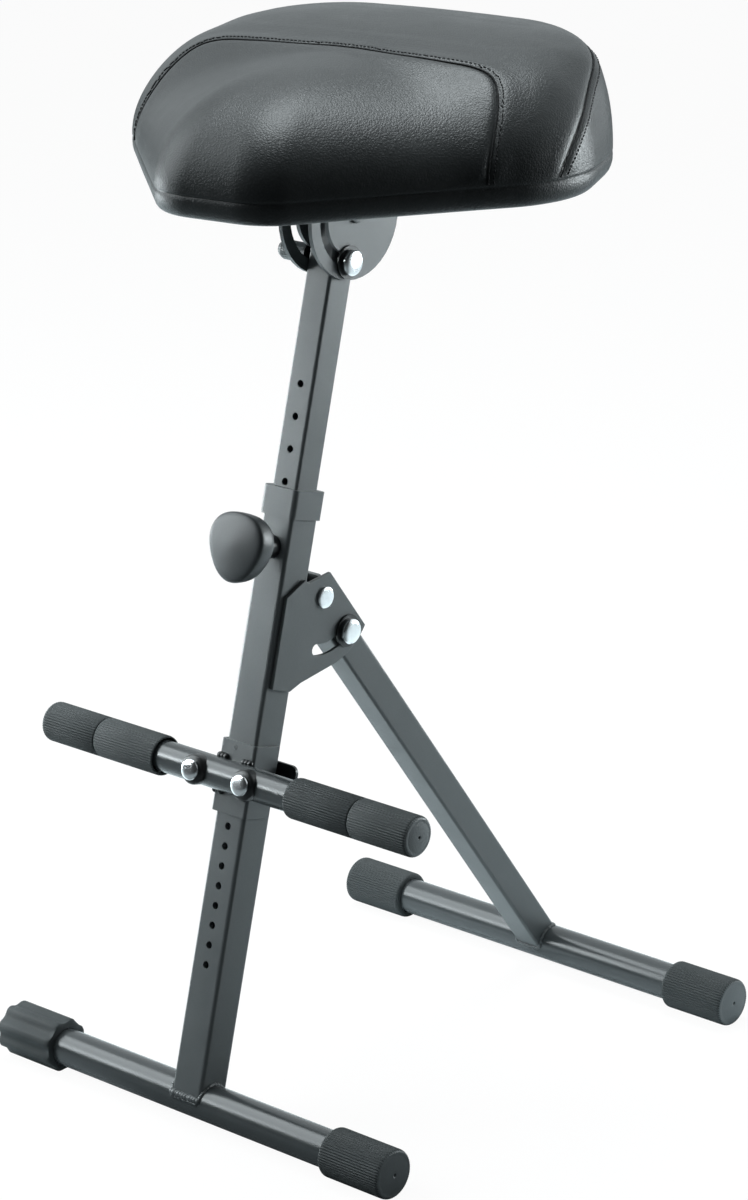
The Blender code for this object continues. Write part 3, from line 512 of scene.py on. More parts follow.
def buildRibTree():
    tree, given = geometryTree("lengthwiseRibs", ("Axis point", "Vector", (0, 0, 0)),
                               ("Rib count", "Float", 60.0), ("Rib depth", "Float", 0.0005))
    spot = geoNode(tree, "InputPosition")
    arm = vectorMath(tree, "SUBTRACT", i0=spot, i1=given["Axis point"])[0]
    flat = vectorMath(tree, "MULTIPLY", i0=arm, i1=(0, 1, 1))[0]
    outward = vectorMath(tree, "NORMALIZE", i0=flat)[0]
    parts = addNode(tree, "SeparateXYZ", i0=flat).outputs
    angle = mathNode(tree, "ARCTAN2", parts[2], parts[1])
    wave = mathNode(tree, "COSINE", mathNode(tree, "MULTIPLY", angle, given["Rib count"]))
    half = mathNode(tree, "MULTIPLY", mathNode(tree, "SUBTRACT", wave, 1.0), 0.5)
    depth = mathNode(tree, "MULTIPLY", half, given["Rib depth"])
    mask = geoNode(tree, "InputNamedAttribute", ("Name", "ribMask"), data_type="FLOAT")
    raised = mathNode(tree, "MULTIPLY", depth, mask)
    offset = vectorMath(tree, "SCALE", i0=outward, Scale=raised)[0]
    ribbed = geoNode(tree, "SetPosition", ("Geometry", given["Geometry"]), ("Offset", offset))
    return closeTree(tree, ribbed, given["Finish"], False)


def applyTree(piece, tree, values):
    modifier = piece.modifiers.new(tree.name, "NODES")
    modifier.node_group = tree
    for item in tree.interface.items_tree:
        if item.item_type == "SOCKET" and item.in_out == "INPUT" and item.name in values:
            modifier[item.identifier] = values[item.name]
    piece.update_tag()
    bpy.context.view_layer.update()
    made = baked(piece)
    made.name = piece.name
    piece.modifiers.remove(modifier)
    if piece.type == "MESH":
        old = piece.data
        piece.data = made
        bpy.data.meshes.remove(old)
        return piece
    name = piece.name
    bpy.data.objects.remove(piece)
    return linked(name, made)


ribTree = buildRibTree()
ribSteps = 6


def ribbedPiece(name, profile, masks, side, place, size, body, node, closed=False):
    sides = size.ribs * ribSteps
    shape = turned([(side * along, radius) for along, radius in profile], "X", sides, closed)
    piece = meshPiece(name, shape, rubberSkin, place, 40.0)
    keep = piece.data.attributes.new("ribMask", "FLOAT", "POINT")
    rows = []
    for (along, radius), mask in zip(profile, masks):
        rows += [mask] * (1 if radius == 0 else sides)
    keep.data.foreach_set("value", rows)
    values = {"Axis point": tuple(place.translation), "Rib count": float(size.ribs)}
    applyTree(piece, ribTree, {**values, "Rib depth": size.depth, "Finish": rubberSkin})
    piece.data.shade_smooth()
    piece.data.set_sharp_from_angle(angle=math.radians(70))
    # painted light: end faces that point outward take the lighter rubber
    piece.data.materials.append(paintedLightRubberEnd)
    turn = place.to_3x3().inverted()
    for face in piece.data.polygons:
        if (turn @ face.normal).x * side > 0.5 and not closed:
            face.material_index = 1
    settle(piece, body, "ribbed_rubber", node)


# Ends of caps and grips: how far in and how high, with how much of the ribs is left at the rim
endRows = ((0.93, 0.10), (0.90, 0.0), (0.86, 0.10), (0.72, 0.45), (0.5, 0.78), (0.3, 0.95), (0.15, 1.0),
           (0.10, 0.98), (0.075, 0.55), (0.06, -0.2), (0.0, -0.3))
rimMasks = (1.0, 1.0, 0.9, 0.7, 0.4, 0.15, 0.0)
boreGap = 0.0003


def roundedEnd(end, size):
    # rolled rim, then a slightly domed end with a moulding ring and a dimple in the middle
    profile = roundOver(end, size.reach, size.round, size.drop)
    for share, lift in endRows:
        profile.append((end + size.crown * lift, (size.reach - size.drop) * share))
    return profile, [*rimMasks, *[0.0] * len(endRows)]


footCap = SimpleNamespace(
    reach=0.0197, bore=0.0153, length=0.061, floor=0.0036, ribs=58, depth=0.0007,
    round=0.0036, drop=0.0022, crown=0.0008,
    lip=((0.0, 0.0022, 0.0), (0.0004, 0.0010, 0.0), (0.0016, 0.0001, 0.5), (0.0030, 0.0, 1.0)),
)


def footCapPiece(name, tubeEnd, side, place, body, node):
    size = footCap
    reach, bore = size.reach, size.bore
    floor = tubeEnd + boreGap
    start = tubeEnd + size.floor - size.length
    profile = [(floor, 0), (floor, bore), (start, bore)]
    profile += [(start + along, reach - drop) for along, drop, mask in size.lip]
    profile += [(start + size.length * share, reach) for share in (0.3, 0.6)]
    masks = [0, 0, 0, *[mask for along, drop, mask in size.lip], 1.0, 1.0]
    end, endMasks = roundedEnd(tubeEnd + size.floor - size.crown, size)
    ribbedPiece(name, profile + end, masks + endMasks, side, place, size, body, node)


footCapPiece("frontRightCap", 0.200, 1, frontFootFrame, "front_frame", "front_right_cap")
footCapPiece("rearRightCap", 0.202, 1, rearFootFrame, "rear_leg", "rear_right_cap")
footCapPiece("rearLeftCap", 0.202, -1, rearFootFrame, "rear_leg", "rear_left_cap")

gripSize = SimpleNamespace(
    reach=0.0160, bore=0.0128, start=0.0685, mouth=0.005, seam=0.133, end=0.1915, barEnd=0.186,
    ribs=48, depth=0.0006, round=0.0035, drop=0.0026, crown=0.0010, ease=0.0010, groove=0.0008,
)


def gripPieces(side, word):
    size = gripSize
    reach, bore, start, seam = size.reach, size.bore, size.start, size.seam
    ease, low = size.ease, reach - size.groove
    stop = seam - boreGap
    mouth = start + size.mouth
    sleeve = [(mouth, bore), (mouth, reach - 0.0014), (start, reach - 0.0012)]
    sleeve += [(start + 0.0004, reach - 0.0004), (start + 0.0018, reach), ((start + stop) / 2, reach)]
    sleeve += [(stop - ease, reach), (stop, low), (stop, bore)]
    masks = [0, 0, 0, 0.1, 1, 1, 1, 0.3, 0]
    node = "rest_grip_" + word
    ribbedPiece(word + "GripSleeve", sleeve, masks, side, restFrame, size, "footrest", node, True)
    floor = size.barEnd + boreGap
    last = size.end - size.crown
    cap = [(floor, 0), (floor, bore), (seam, bore), (seam, low), (seam + ease, reach)]
    cap.append(((seam + last) / 2, reach))
    end, endMasks = roundedEnd(last, size)
    masks = [0, 0, 0, 0.3, 1, 1] + endMasks
    ribbedPiece(word + "GripEnd", cap + end, masks, side, restFrame, size, "footrest", "rest_end_cap_" + word)


gripPieces(1, "right")
gripPieces(-1, "left")
print("ribbed caps and grips done")


# Levelling cap: eight hollowed flats round an off-centre bore

leveller = SimpleNamespace(
    flats=0.0205, offset=0.0009, bore=0.0153, inner=0.145, outer=0.203, tubeEnd=0.2003,
    hollow=0.0017, ridgeFrom=0.74, ridgeEase=0.030, fluteSpan=0.8, sides=128,
    innerRows=((0.0, 0.0016, 0), (0.0005, 0.0006, 0.2), (0.0016, 0.0, 0.8), (0.006, 0.0, 1), (0.029, 0.0, 1)),
    outerRows=((0.0022, 0.0, 1), (0.0008, 0.0007, 0.8), (0.0, 0.0022, 0.4), (0.0, 0.009225, 0),
               (0.0, 0.0205, 0)),
)


def levellerScale(angle, row):
    # rounded ridges with a hollow flute between them
    size = leveller
    turn = (angle + math.pi / 8) % (math.pi / 4) - math.pi / 8
    across = abs(math.tan(turn) / math.tan(math.pi / 8))
    ridge = max(0.0, across - size.ridgeFrom) / (1 - size.ridgeFrom)
    flute = 0.5 + 0.5 * math.cos(math.pi * min(across / size.fluteSpan, 1.0))
    share = (size.innerRows + size.outerRows)[row][2]
    hollow = size.hollow / size.flats * flute * share
    return (1.0 - size.ridgeEase * ridge ** 2) / math.cos(turn) - hollow


def levellerPiece():
    size = leveller
    flat, inner, outer, end = size.flats, size.inner, size.outer, size.tubeEnd
    outside = [(-inner - along, flat - drop) for along, drop, share in size.innerRows]
    outside += [(along - outer, flat - drop) for along, drop, share in size.outerRows]
    shape = turned(outside, "X", size.sides, False, levellerScale)
    bmesh.ops.translate(shape, verts=shape.verts, vec=(0, 0, size.offset))
    bore = [(-end, 0), (-end, size.bore), (-inner, size.bore)]
    turned(bore, "X", size.sides, False, None, shape)
    mouth = [edge for edge in shape.edges if edge.is_boundary]
    bmesh.ops.bridge_loops(shape, edges=mouth)
    piece = meshPiece("levellerCap", shape, rubberSkin, frontFootFrame, 40.0)
    settle(piece, "leveller", "ribbed_rubber", "leveller_cap")


levellerPiece()
print("levelling cap done")


# Lock knob: three soft lobes, a rolled edge and a crowned bare face

knobSize = SimpleNamespace(
    back=0.039, length=0.023, bore=0.0133, shank=0.0043, reach=0.0268, lobe=0.058, sides=96,
    side=((0.0, 0.70), (0.015, 0.78), (0.05, 0.855), (0.11, 0.905), (0.21, 0.945), (0.35, 0.972),
          (0.50, 0.99), (0.63, 1.0), (0.72, 1.0)),
    rim=((0.775, 0.992), (0.815, 0.972), (0.845, 0.942), (0.866, 0.902), (0.88, 0.86)),
    crown=((0.905, 0.76), (0.93, 0.62), (0.955, 0.47), (0.975, 0.32), (0.99, 0.18), (0.997, 0.08),
           (1.0, 0.0)),
    fade=(0, 0, 0, 0.6, 0.6, 0.8, 0.9, *[1.0] * 10, 0.9, 0.75, 0.55, 0.35, 0.2, 0.1, 0),
)


def knobPiece():
    size = knobSize
    back, shank = size.back, size.shank
    profile = [(-back - size.bore, 0), (-back - size.bore, shank), (-back, shank)]
    for along, radius in size.side + size.rim + size.crown:
        profile.append((-back - size.length * along, size.reach * radius))

    def lobes(angle, row):
        return 1.0 + size.lobe * math.cos(3 * (angle + math.pi / 2)) * size.fade[row]

    shape = turned(profile, "Y", size.sides, False, lobes)
    piece = meshPiece("lockKnob", shape, blackPlastic, lockFrame, 50.0)
    settle(piece, "lock_knob", "black_plastic", "lock_knob")


knobPiece()
print("knob done")


# Weld beads along the joints of the tubes

def buildBeadTree():
    tree, given = geometryTree("weldBead", ("Step", "Float", 0.0016), ("Bead radius", "Float", 0.0018),
                               ("Seed", "Int", 3))
    points = evenPoints(tree, given["Geometry"], given["Step"])
    drop = geoNode(tree, "MeshIcoSphere", ("Radius", given["Bead radius"]), ("Subdivisions", 2))
    links = [("Seed", given["Seed"]), (2, 0.75), (3, 1.1)]
    spread = makeNode(tree, "FunctionNodeRandomValue", {"data_type": "FLOAT"}, links).outputs[1]
    beads = geoNode(tree, "InstanceOnPoints", ("Points", points), ("Instance", drop),
                    ("Scale", spread))
    return closeTree(tree, beads, given["Finish"])


beadTree = buildBeadTree()


def pathCurve(name, runs):
    curve = bpy.data.curves.new(name, "CURVE")
    curve.dimensions = "3D"
    for run in runs:
        spline = curve.splines.new("POLY")
        spline.points.add(len(run) - 1)
        for point, spot in zip(spline.points, run):
            point.co = (*spot, 1.0)
    return linked(name, curve)


welds = SimpleNamespace(
    step=0.8, columnHalf=0.0150, legHalf=0.0125, footReach=0.0150, cornerPull=1.35, runSteps=48,
    frontHalf=0.0135, frontUp=0.0028, frontRadius=0.0030, columnRadius=0.0019, legRadius=0.0018,
    barAcross=0.0125, barHalf=0.003, barBack=0.0030, barUp=0.0134, barRadius=0.0027,
    markAcross=-0.0025, markUp=0.0226, markSides=24,
    mark=((0.0041, 0), (0.0041, 0.0009), (0.0036, 0.0012), (0.0035, 0.0015), (0.0038, 0.0019),
          (0.0041, 0.0020)),
)


def weldPiece(name, runs, radius, seed, body, look):
    values = {"Step": radius * welds.step, "Bead radius": radius, "Seed": seed, "Finish": look}
    piece = applyTree(pathCurve(name, runs), beadTree, values)
    piece.data.shade_smooth()
    settle(piece, body, "coated_steel")


def footRun(place, half, axisUp):
    # where a square tube meets the round foot under it
    run = []
    pull = welds.cornerPull * half
    for step in range(welds.runSteps + 1):
        angle = 2 * math.pi * step / welds.runSteps
        across = max(-half, min(half, pull * math.cos(angle)))
        along = max(-half, min(half, pull * math.sin(angle)))
        up = math.sqrt(max(welds.footReach ** 2 - along ** 2, 0.0))
        run.append(place @ Vector((across, along, axisUp + up)))
    return run


def straightRun(place, middle, half):
    return [place @ (Vector(middle) + Vector((offset, 0, 0))) for offset in (-half, 0.0, half)]


frontRun = straightRun(columnFrame, (0, -welds.columnHalf, welds.frontUp), welds.frontHalf)
columnRun = footRun(columnFrame, welds.columnHalf, 0.0)
legRun = footRun(legFrame, welds.legHalf, -stool.legLength)
barRuns = []
for side in (-1, 1):
    for level in (-1, 1):
        middle = (side * welds.barAcross, welds.barBack, level * welds.barUp)
        barRuns.append(straightRun(restFrame, middle, welds.barHalf))
weldPiece("columnFrontWeld", [frontRun], welds.frontRadius, 5, "front_frame", steelCoat)
weldPiece("columnFootWeld", [columnRun], welds.columnRadius, 4, "front_frame", steelCoat)
weldPiece("legFootWeld", [legRun], welds.legRadius, 7, "rear_leg", steelCoat)
# the footrest's weld lumps take the near-black steel finish, darker than the coat round them
weldPiece("barWelds", barRuns, welds.barRadius, 11, "footrest", blackSteel)

# Small pressed ring on the front of the footrest's bracket
markPlace = restFrame @ shift(welds.markAcross, 0, welds.markUp)
mark = meshPiece("bracketMark", turned(welds.mark, "Y", welds.markSides), steelCoat, markPlace, 60.0)
settle(mark, "footrest", "coated_steel")
print("welds done")


# Seat cushion

cushion = SimpleNamespace(
    nose=(0.020, 0.128, 0.050), shoulder=(0.099, -0.0345, 0.0917), rear=(0.0666, -0.072, 0.1127),
    angles=560, rows=160, underside=0.0371, boardInset=0.012, boardGap=0.0003,
    bottom=0.027, inset=0.008, band=0.0455, bandIn=0.0011, bandDown=0.0013,
    bandRows=((0.72, 0.0006), (0.48, 0.002), (0.28, 0.004), (0.12, 0.0068), (0.02, 0.010), (0.0, 0.0135),
                 (0.03, 0.0160)),
    dome=0.0766, rise=0.073, riseSoft=0.03, noseFull=3.0, nosePower=4.0, sideFull=1.95,
    rearFull=20.0, rearPower=1.07, blend=math.radians(13),
    puffLimit=0.005, voxel=0.005, heldReach=0.004, steps=20,
    evenReach=0.024, spreadCount=6, spreadSoft=0.002,
)
coverCloth = {
    "quality": 5, "mass": 0.3, "tension_stiffness": 12, "compression_stiffness": 12, "shear_stiffness": 5,
    "bending_stiffness": 0.5, "use_pressure": True, "uniform_pressure_force": 4.0,
    "vertex_group_mass": "held",
}


def outlineReach(angles):
    # hull of six circles, as its distance from the pivot along each ray
    directions = np.radians(np.arange(0, 360, 0.5))
    support = np.full(len(directions), -1.0)
    for side, ahead, radius in (cushion.nose, cushion.shoulder, cushion.rear):
        support = np.maximum(support, side * np.abs(np.sin(directions)) + ahead * np.cos(directions) + radius)
    turn = directions[None, :] - angles[:, None]
    along = np.cos(turn)
    reach = np.where(along > 0.3, support[None, :] / np.maximum(along, 0.3), 9.0)
    return reach.min(axis=1)


def softPositive(value, width):
    return (value + np.sqrt(value ** 2 + width ** 2)) / 2


def blurRound(values, width):
    # soft passage round the seat from one fullness to the next
    count = len(values)
    steps = (np.arange(count) + count // 2) % count - count // 2
    weights = np.exp(-0.5 * (steps * 2 * np.pi / count / width) ** 2)
    return np.array([(np.roll(weights, index) * values).sum() for index in range(count)]) / weights.sum()


def resample(points, count):
    # points at even steps along a line
    length = np.concatenate([[0], np.cumsum(np.linalg.norm(np.diff(points, axis=0), axis=1))])
    wanted = np.linspace(0, length[-1], count)
    return np.stack([np.interp(wanted, length, column) for column in points.T], 1)


def cushionSections():
    size = cushion
    angles = 2 * np.pi * np.arange(size.angles) / size.angles
    reach = outlineReach(angles)
    ahead = np.cos(angles)
    full = size.sideFull + (size.noseFull - size.sideFull) * np.maximum(ahead, 0) ** size.nosePower
    full = full + (size.rearFull - size.sideFull) * np.maximum(-ahead, 0) ** size.rearPower
    full = blurRound(full, size.blend)
    steps = np.concatenate([np.linspace(0, 1.45, 500), math.pi / 2 - np.geomspace(0.12, 1e-5, 300)])
    sections = []
    for index in range(len(angles)):
        share = np.cos(steps) ** (2 / full[index])
        share[-1] = 0.0
        run = reach[index] * share
        back = softPositive(-run * ahead[index], size.riseSoft) - size.riseSoft / 2
        height = size.band + (size.dome + size.rise * back) * np.sin(steps)
        order = np.argsort(-share, kind="stable")
        sections.append(resample(np.stack([run, height], 1)[order], size.rows + 1))
    return angles, reach, np.array(sections)


def cushionShape():
    # rows of points from the hollow for the board, round the band and up to the crown
    size = cushion
    angles, reach, sections = cushionSections()
    out = np.stack([np.sin(angles), -np.cos(angles)], 1)
    hollow = reach - size.boardInset + size.boardGap
    bottom, under = size.bottom, size.underside
    lower = [(hollow * 0.5, under), (hollow, under), (hollow, bottom + 0.0002)]
    lower += [(hollow + 0.0012, bottom), (reach - size.inset, bottom)]
    lower += [(reach - size.inset * share, bottom + lift) for share, lift in size.bandRows]
    lower.append((reach - size.bandIn, size.band - size.bandDown))
    rows = []
    for run, height in lower:
        rows.append(np.column_stack([out * run[:, None], np.full(len(run), height)]))
    for row in range(size.rows):
        run, height = sections[:, row, 0], sections[:, row, 1]
        rows.append(np.column_stack([out * run[:, None], height]))
    return np.array(rows), len(lower), sections[:, -1, 1].mean()


def polarMesh(rows, floor, crown):
    shape = bmesh.new()
    rings = [[shape.verts.new(spot) for spot in row] for row in rows]
    low, high = shape.verts.new((0, 0, floor)), shape.verts.new((0, 0, crown))
    return joinRings(shape, [[low], *rings, [high]], len(rings[0]))


# Seams: across, ahead and up from the tilt pivot in millimetres, with the left half as a mirror of the right

seams = SimpleNamespace(
    lines={
        "panel": [(0, -13, 123), (16, -13, 123), (48, -9, 122.6), (81, -9, 120), (108, -12, 117),
                  (122, -11, 113), (131, -6, 108), (138, 3, 100), (143, 13, 90), (147, 23, 82), (150, 32, 72),
                  (152, 38, 64), (154, 43, 54), (154, 44, 46)],
        "rear": [(0, -180, 131), (50, -177, 130), (97, -166, 127), (125, -153, 123), (143, -134, 117),
                 (157, -110, 110), (169, -81, 100), (179, -53, 87), (185, -31, 74), (186.5, -14, 59),
                 (186, -5, 46)],
    },
    steps=260, grooveWidth=0.0024, grooveDepth=0.0014, puffWidth=0.009, puffHeight=0.0010, puffOut=0.006,
    fadeHeight=0.008, shadeLineRadius=0.0007, shadeLineRise=0.0008, shadeLineFrom=0.0005,
    stitchOffset={"panel": 0.0042, "rear": 0.0062}, stitchPitch=0.0036, stitchLength=0.0026,
    threadRadius=0.0006, threadRise=0.00015, threadFrom=0.0025, middle=(0, -0.02, 0.09),
)


def smoothLine(points, steps):
    # smooth curve through the points, evened out along its length
    spots = np.array(points, float) / 1000
    ends = np.vstack([2 * spots[0] - spots[1], spots, 2 * spots[-1] - spots[-2]])
    line = []
    for index in range(len(spots) - 1):
        a, b, c, d = ends[index:index + 4]
        for t in np.linspace(0, 1, 24, endpoint=False):
            bend = (2 * a - 5 * b + 4 * c - d) * t ** 2 + (3 * b - a - 3 * c + d) * t ** 3
            line.append(0.5 * (2 * b + (c - a) * t + bend))
    return resample(np.array(line + [spots[-1]]), steps)


def seamLine(key):
    half = smoothLine(seams.lines[key], seams.steps)
    other = half[:0:-1] * np.array([-1, 1, 1])
    line = np.vstack([other, half])
    return line * np.array([1, -1, 1])


def treeOf(points):
    tree = kdtree.KDTree(len(points))
    for index, spot in enumerate(points):
        tree.insert(spot, index)
    tree.balance()
    return tree


def onSurface(line, bvh):
    spots, normals = [], []
    for spot in line:
        place, normal, face, gap = bvh.find_nearest(Vector(spot))
        spots.append(place)
        normals.append(normal)
    return np.array(spots), np.array(normals)


def swell(rows, crown, seamTree):
    # cloth under air pressure, held at the band and along the seams; gives how far each point swells
    size = cushion
    small = polarMesh(rows[:, ::4], size.underside, crown)
    bmesh.ops.recalc_face_normals(small, faces=small.faces)
    mesh = bpy.data.meshes.new("swellStart")
    small.to_mesh(mesh)
    small.free()
    body = linked("swellStart", mesh)
    remesh = body.modifiers.new("remesh", "REMESH")
    remesh.mode = "VOXEL"
    remesh.voxel_size = size.voxel
    fine = baked(body)
    body.modifiers.clear()
    body.data = fine
    start = np.array([vertex.co for vertex in fine.vertices])
    held = body.vertex_groups.new(name="held")
    for vertex in fine.vertices:
        gap = min(vertex.co.z - size.band, seamTree.find(vertex.co)[2])
        if gap < size.heldReach:
            held.add([vertex.index], 1.0, "REPLACE")
    cloth = body.modifiers.new("cloth", "CLOTH")
    for key, value in coverCloth.items():
        setattr(cloth.settings, key, value)
    cloth.settings.effector_weights.gravity = 0
    cloth.collision_settings.use_collision = False
    cloth.point_cache.frame_start = 1
    cloth.point_cache.frame_end = size.steps
    for step in range(1, size.steps + 1):
        scene.frame_set(step)
    graph = bpy.context.evaluated_depsgraph_get()
    grown = body.evaluated_get(graph).to_mesh()
    end = np.array([vertex.co for vertex in grown.vertices])
    scene.frame_set(1)
    bpy.data.objects.remove(body)
    move = end - start
    length = np.linalg.norm(move, axis=1, keepdims=True)
    return start, evenMove(start, move * np.minimum(1.0, size.puffLimit / np.maximum(length, 1e-9)))


def weighted(near, weights, move):
    return (weights[:, None] * move[[found for place, found, gap in near]]).sum(0) / weights.sum()


def evenMove(start, move):
    # takes the small wrinkles out of the swelling
    tree = treeOf(start)
    reach = cushion.evenReach
    result = np.zeros_like(move)
    for index, spot in enumerate(start):
        near = tree.find_range(spot, reach)
        shares = np.array([gap for place, found, gap in near]) / reach
        result[index] = weighted(near, np.exp(-4 * shares ** 2), move)
    return result


def spreadMove(points, start, move):
    tree = treeOf(start)
    result = np.zeros_like(points)
    for index, spot in enumerate(points):
        near = tree.find_n(spot, cushion.spreadCount)
        weights = np.array([1 / (gap + cushion.spreadSoft) for place, found, gap in near])
        result[index] = weighted(near, weights, move)
    return result


def surfaceTree(points, count):
    faces = []
    for row in range(0, len(points) - count, count):
        for index in range(count):
            first, second = row + index, row + (index + 1) % count
            faces.append((first, second, second + count, first + count))
    return BVHTree.FromPolygons([Vector(spot) for spot in points], faces)


def gridNormals(rows):
    around = np.roll(rows, -1, axis=1) - np.roll(rows, 1, axis=1)
    up = np.gradient(rows, axis=0)
    normal = np.cross(around, up)
    normal /= np.maximum(np.linalg.norm(normal, axis=2, keepdims=True), 1e-12)
    outward = rows - np.array([0, 0, 0.03])
    flip = np.sign((normal * outward).sum(axis=2, keepdims=True))
    return normal * np.where(flip == 0, 1, flip)


def buildCushion():
    rows, lowerCount, crown = cushionShape()
    upper = rows[lowerCount:]
    bvh = surfaceTree(upper.reshape(-1, 3), rows.shape[1])
    lines = {key: onSurface(seamLine(key), bvh)[0] for key in seams.lines}
    seamTree = treeOf(np.vstack(list(lines.values())))
    flat = upper.reshape(-1, 3).copy()
    start, move = swell(rows, crown, seamTree)
    flat += spreadMove(flat, start, move)
    print("cushion swelled by", round(float(np.linalg.norm(move, axis=1).max()) * 1000, 2), "mm at most")
    upper = flat.reshape(upper.shape)
    normals = gridNormals(np.concatenate([rows[lowerCount - 1:lowerCount], upper]))[1:]
    gaps = np.array([seamTree.find(spot)[2] for spot in flat]).reshape(upper.shape[:2])
    groove = -seams.grooveDepth * np.exp(-(gaps / seams.grooveWidth) ** 2)
    puff = seams.puffHeight * np.exp(-((gaps - seams.puffOut) / seams.puffWidth) ** 2)
    fade = np.clip((upper[:, :, 2] - cushion.band) / seams.fadeHeight, 0, 1)
    upper = upper + normals * ((groove + puff) * fade)[:, :, None]
    upper[0] = rows[lowerCount]
    top = float(upper[-1, :, 2].mean())
    shape = polarMesh(np.concatenate([rows[:lowerCount], upper]), cushion.underside, top)
    piece = meshPiece("seatCushion", shape, blackHide, seatFrame, 75.0)
    settle(piece, "seat", "seat_cover", "seat_cushion")
    return upper, lines


def buildStitchTree():
    tree, given = geometryTree("stitchRow", ("Pitch", "Float", 0.0036), ("Stitch length", "Float", 0.0026),
                               ("Thread radius", "Float", 0.0004))
    points = evenPoints(tree, given["Geometry"], given["Pitch"])
    tangent = geoNode(tree, "InputTangent")
    links = [("Vector", tangent)]
    turn = makeNode(tree, "FunctionNodeAlignRotationToVector", {"axis": "Z"}, links).outputs[0]
    ball = geoNode(tree, "MeshUVSphere", ("Segments", 6), ("Rings", 5), ("Radius", 0.5))
    thick = mathNode(tree, "MULTIPLY", given["Thread radius"], 2.0)
    size = addNode(tree, "CombineXYZ", i0=thick, i1=thick, i2=given["Stitch length"]).outputs[0]
    threads = geoNode(tree, "InstanceOnPoints", ("Points", points), ("Instance", ball),
                      ("Rotation", turn), ("Scale", size))
    return closeTree(tree, threads, given["Finish"])


# painted shade: a thin near-black tube along each seam stands for the shadow in its gap
def buildSeamShadeTree():
    tree, given = geometryTree("seamShadeLine", ("Shade line radius", "Float", 0.0005))
    ring = geoNode(tree, "CurvePrimitiveCircle", ("Resolution", 6), ("Radius", given["Shade line radius"]))
    line = geoNode(tree, "CurveToMesh", ("Curve", given["Geometry"]), ("Profile Curve", ring),
                   ("Fill Caps", True))
    return closeTree(tree, line, given["Finish"])


def facingOut(spots, tops):
    return tops * np.sign((tops * (spots - np.array(seams.middle))).sum(axis=1, keepdims=True))


def inSeat(spots, keep):
    return [seatFrame @ Vector(spot) for spot in spots[keep]]


def stitchRows(upper, lines):
    # a dark line along each seam as painted shade of its gap, and a row of stitches behind it
    bvh = surfaceTree(upper.reshape(-1, 3), upper.shape[1])
    stitches, gaps = [], []
    for key, offset in seams.stitchOffset.items():
        spots, tops = onSurface(lines[key], bvh)
        side = np.cross(np.gradient(spots, axis=0), tops)
        side /= np.linalg.norm(side, axis=1, keepdims=True)
        behind = np.sign(side[:, 1].mean())
        placed, raised = onSurface(spots + side * behind * offset, bvh)
        thread = placed + facingOut(placed, raised) * seams.threadRise
        stitches.append(inSeat(thread, placed[:, 2] > cushion.band + seams.threadFrom))
        # the painted seam shade sits just proud of the surface
        proud = spots + facingOut(spots, tops) * seams.shadeLineRise
        gaps.append(inSeat(proud, spots[:, 2] > cushion.band + seams.shadeLineFrom))
    values = {"Shade line radius": seams.shadeLineRadius, "Finish": threadAndSeamShadeFinish}
    settle(applyTree(pathCurve("seamShadeLines", gaps), buildSeamShadeTree(), values), "seat", "seat_cover")
    values = {"Pitch": seams.stitchPitch, "Stitch length": seams.stitchLength}
    values.update({"Thread radius": seams.threadRadius, "Finish": threadAndSeamShadeFinish})
    settle(applyTree(pathCurve("coverStitches", stitches), buildStitchTree(), values), "seat", "seat_cover")


stitchRows(*buildCushion())
print("cushion and stitches done")


# Stage, light and camera

view = SimpleNamespace(
    azimuth=math.radians(40.6698), elevation=math.radians(18.4529), roll=math.radians(0.1476),
    place=(1.986753, -2.226239, 1.357787), lens=120.268, shiftX=-0.06029, shiftY=0.0119,
)
stage = SimpleNamespace(
    floorWhite=0.95, floorTone=0.95, floorDark=0.2, darkFrom=(0.08, -0.12, 0.0), half=40.0,
    floorLevel=-0.0002, paleSide=(-0.5, 0.86, 0.0), passage=(-0.25, 0.35), tint=(0.90, 0.975, 1.0),
    mirrorDark=0.03, mirrorPale=1.0, fill=0.2,
)
white = (1, 1, 1, 1)


def lightPath(tree, *kinds):
    path = addNode(tree, "LightPath")
    total = path.outputs[kinds[0]]
    for kind in kinds[1:]:
        total = mathNode(tree, "MAXIMUM", total, path.outputs[kind])
    return total


def sideTone(tree, way, dark, light):
    # pale on the left and behind, dark on the right and in front
    facing = vectorMath(tree, "DOT_PRODUCT", i0=way, i1=stage.paleSide)["Value"]
    low, high = stage.passage
    links = [("Value", facing), ("From Min", low), ("From Max", high), ("To Min", dark), ("To Max", light)]
    spread = makeNode(tree, "ShaderNodeMapRange", {"interpolation_type": "SMOOTHSTEP"}, links)
    return mixColour(tree, 1.0, (*stage.tint, 1), spread.outputs[0], "MULTIPLY")


def emptyTree(owner, kind):
    owner.use_nodes = True
    owner.node_tree.nodes.clear()
    return owner.node_tree, owner.node_tree.nodes.new("ShaderNodeOutput" + kind)


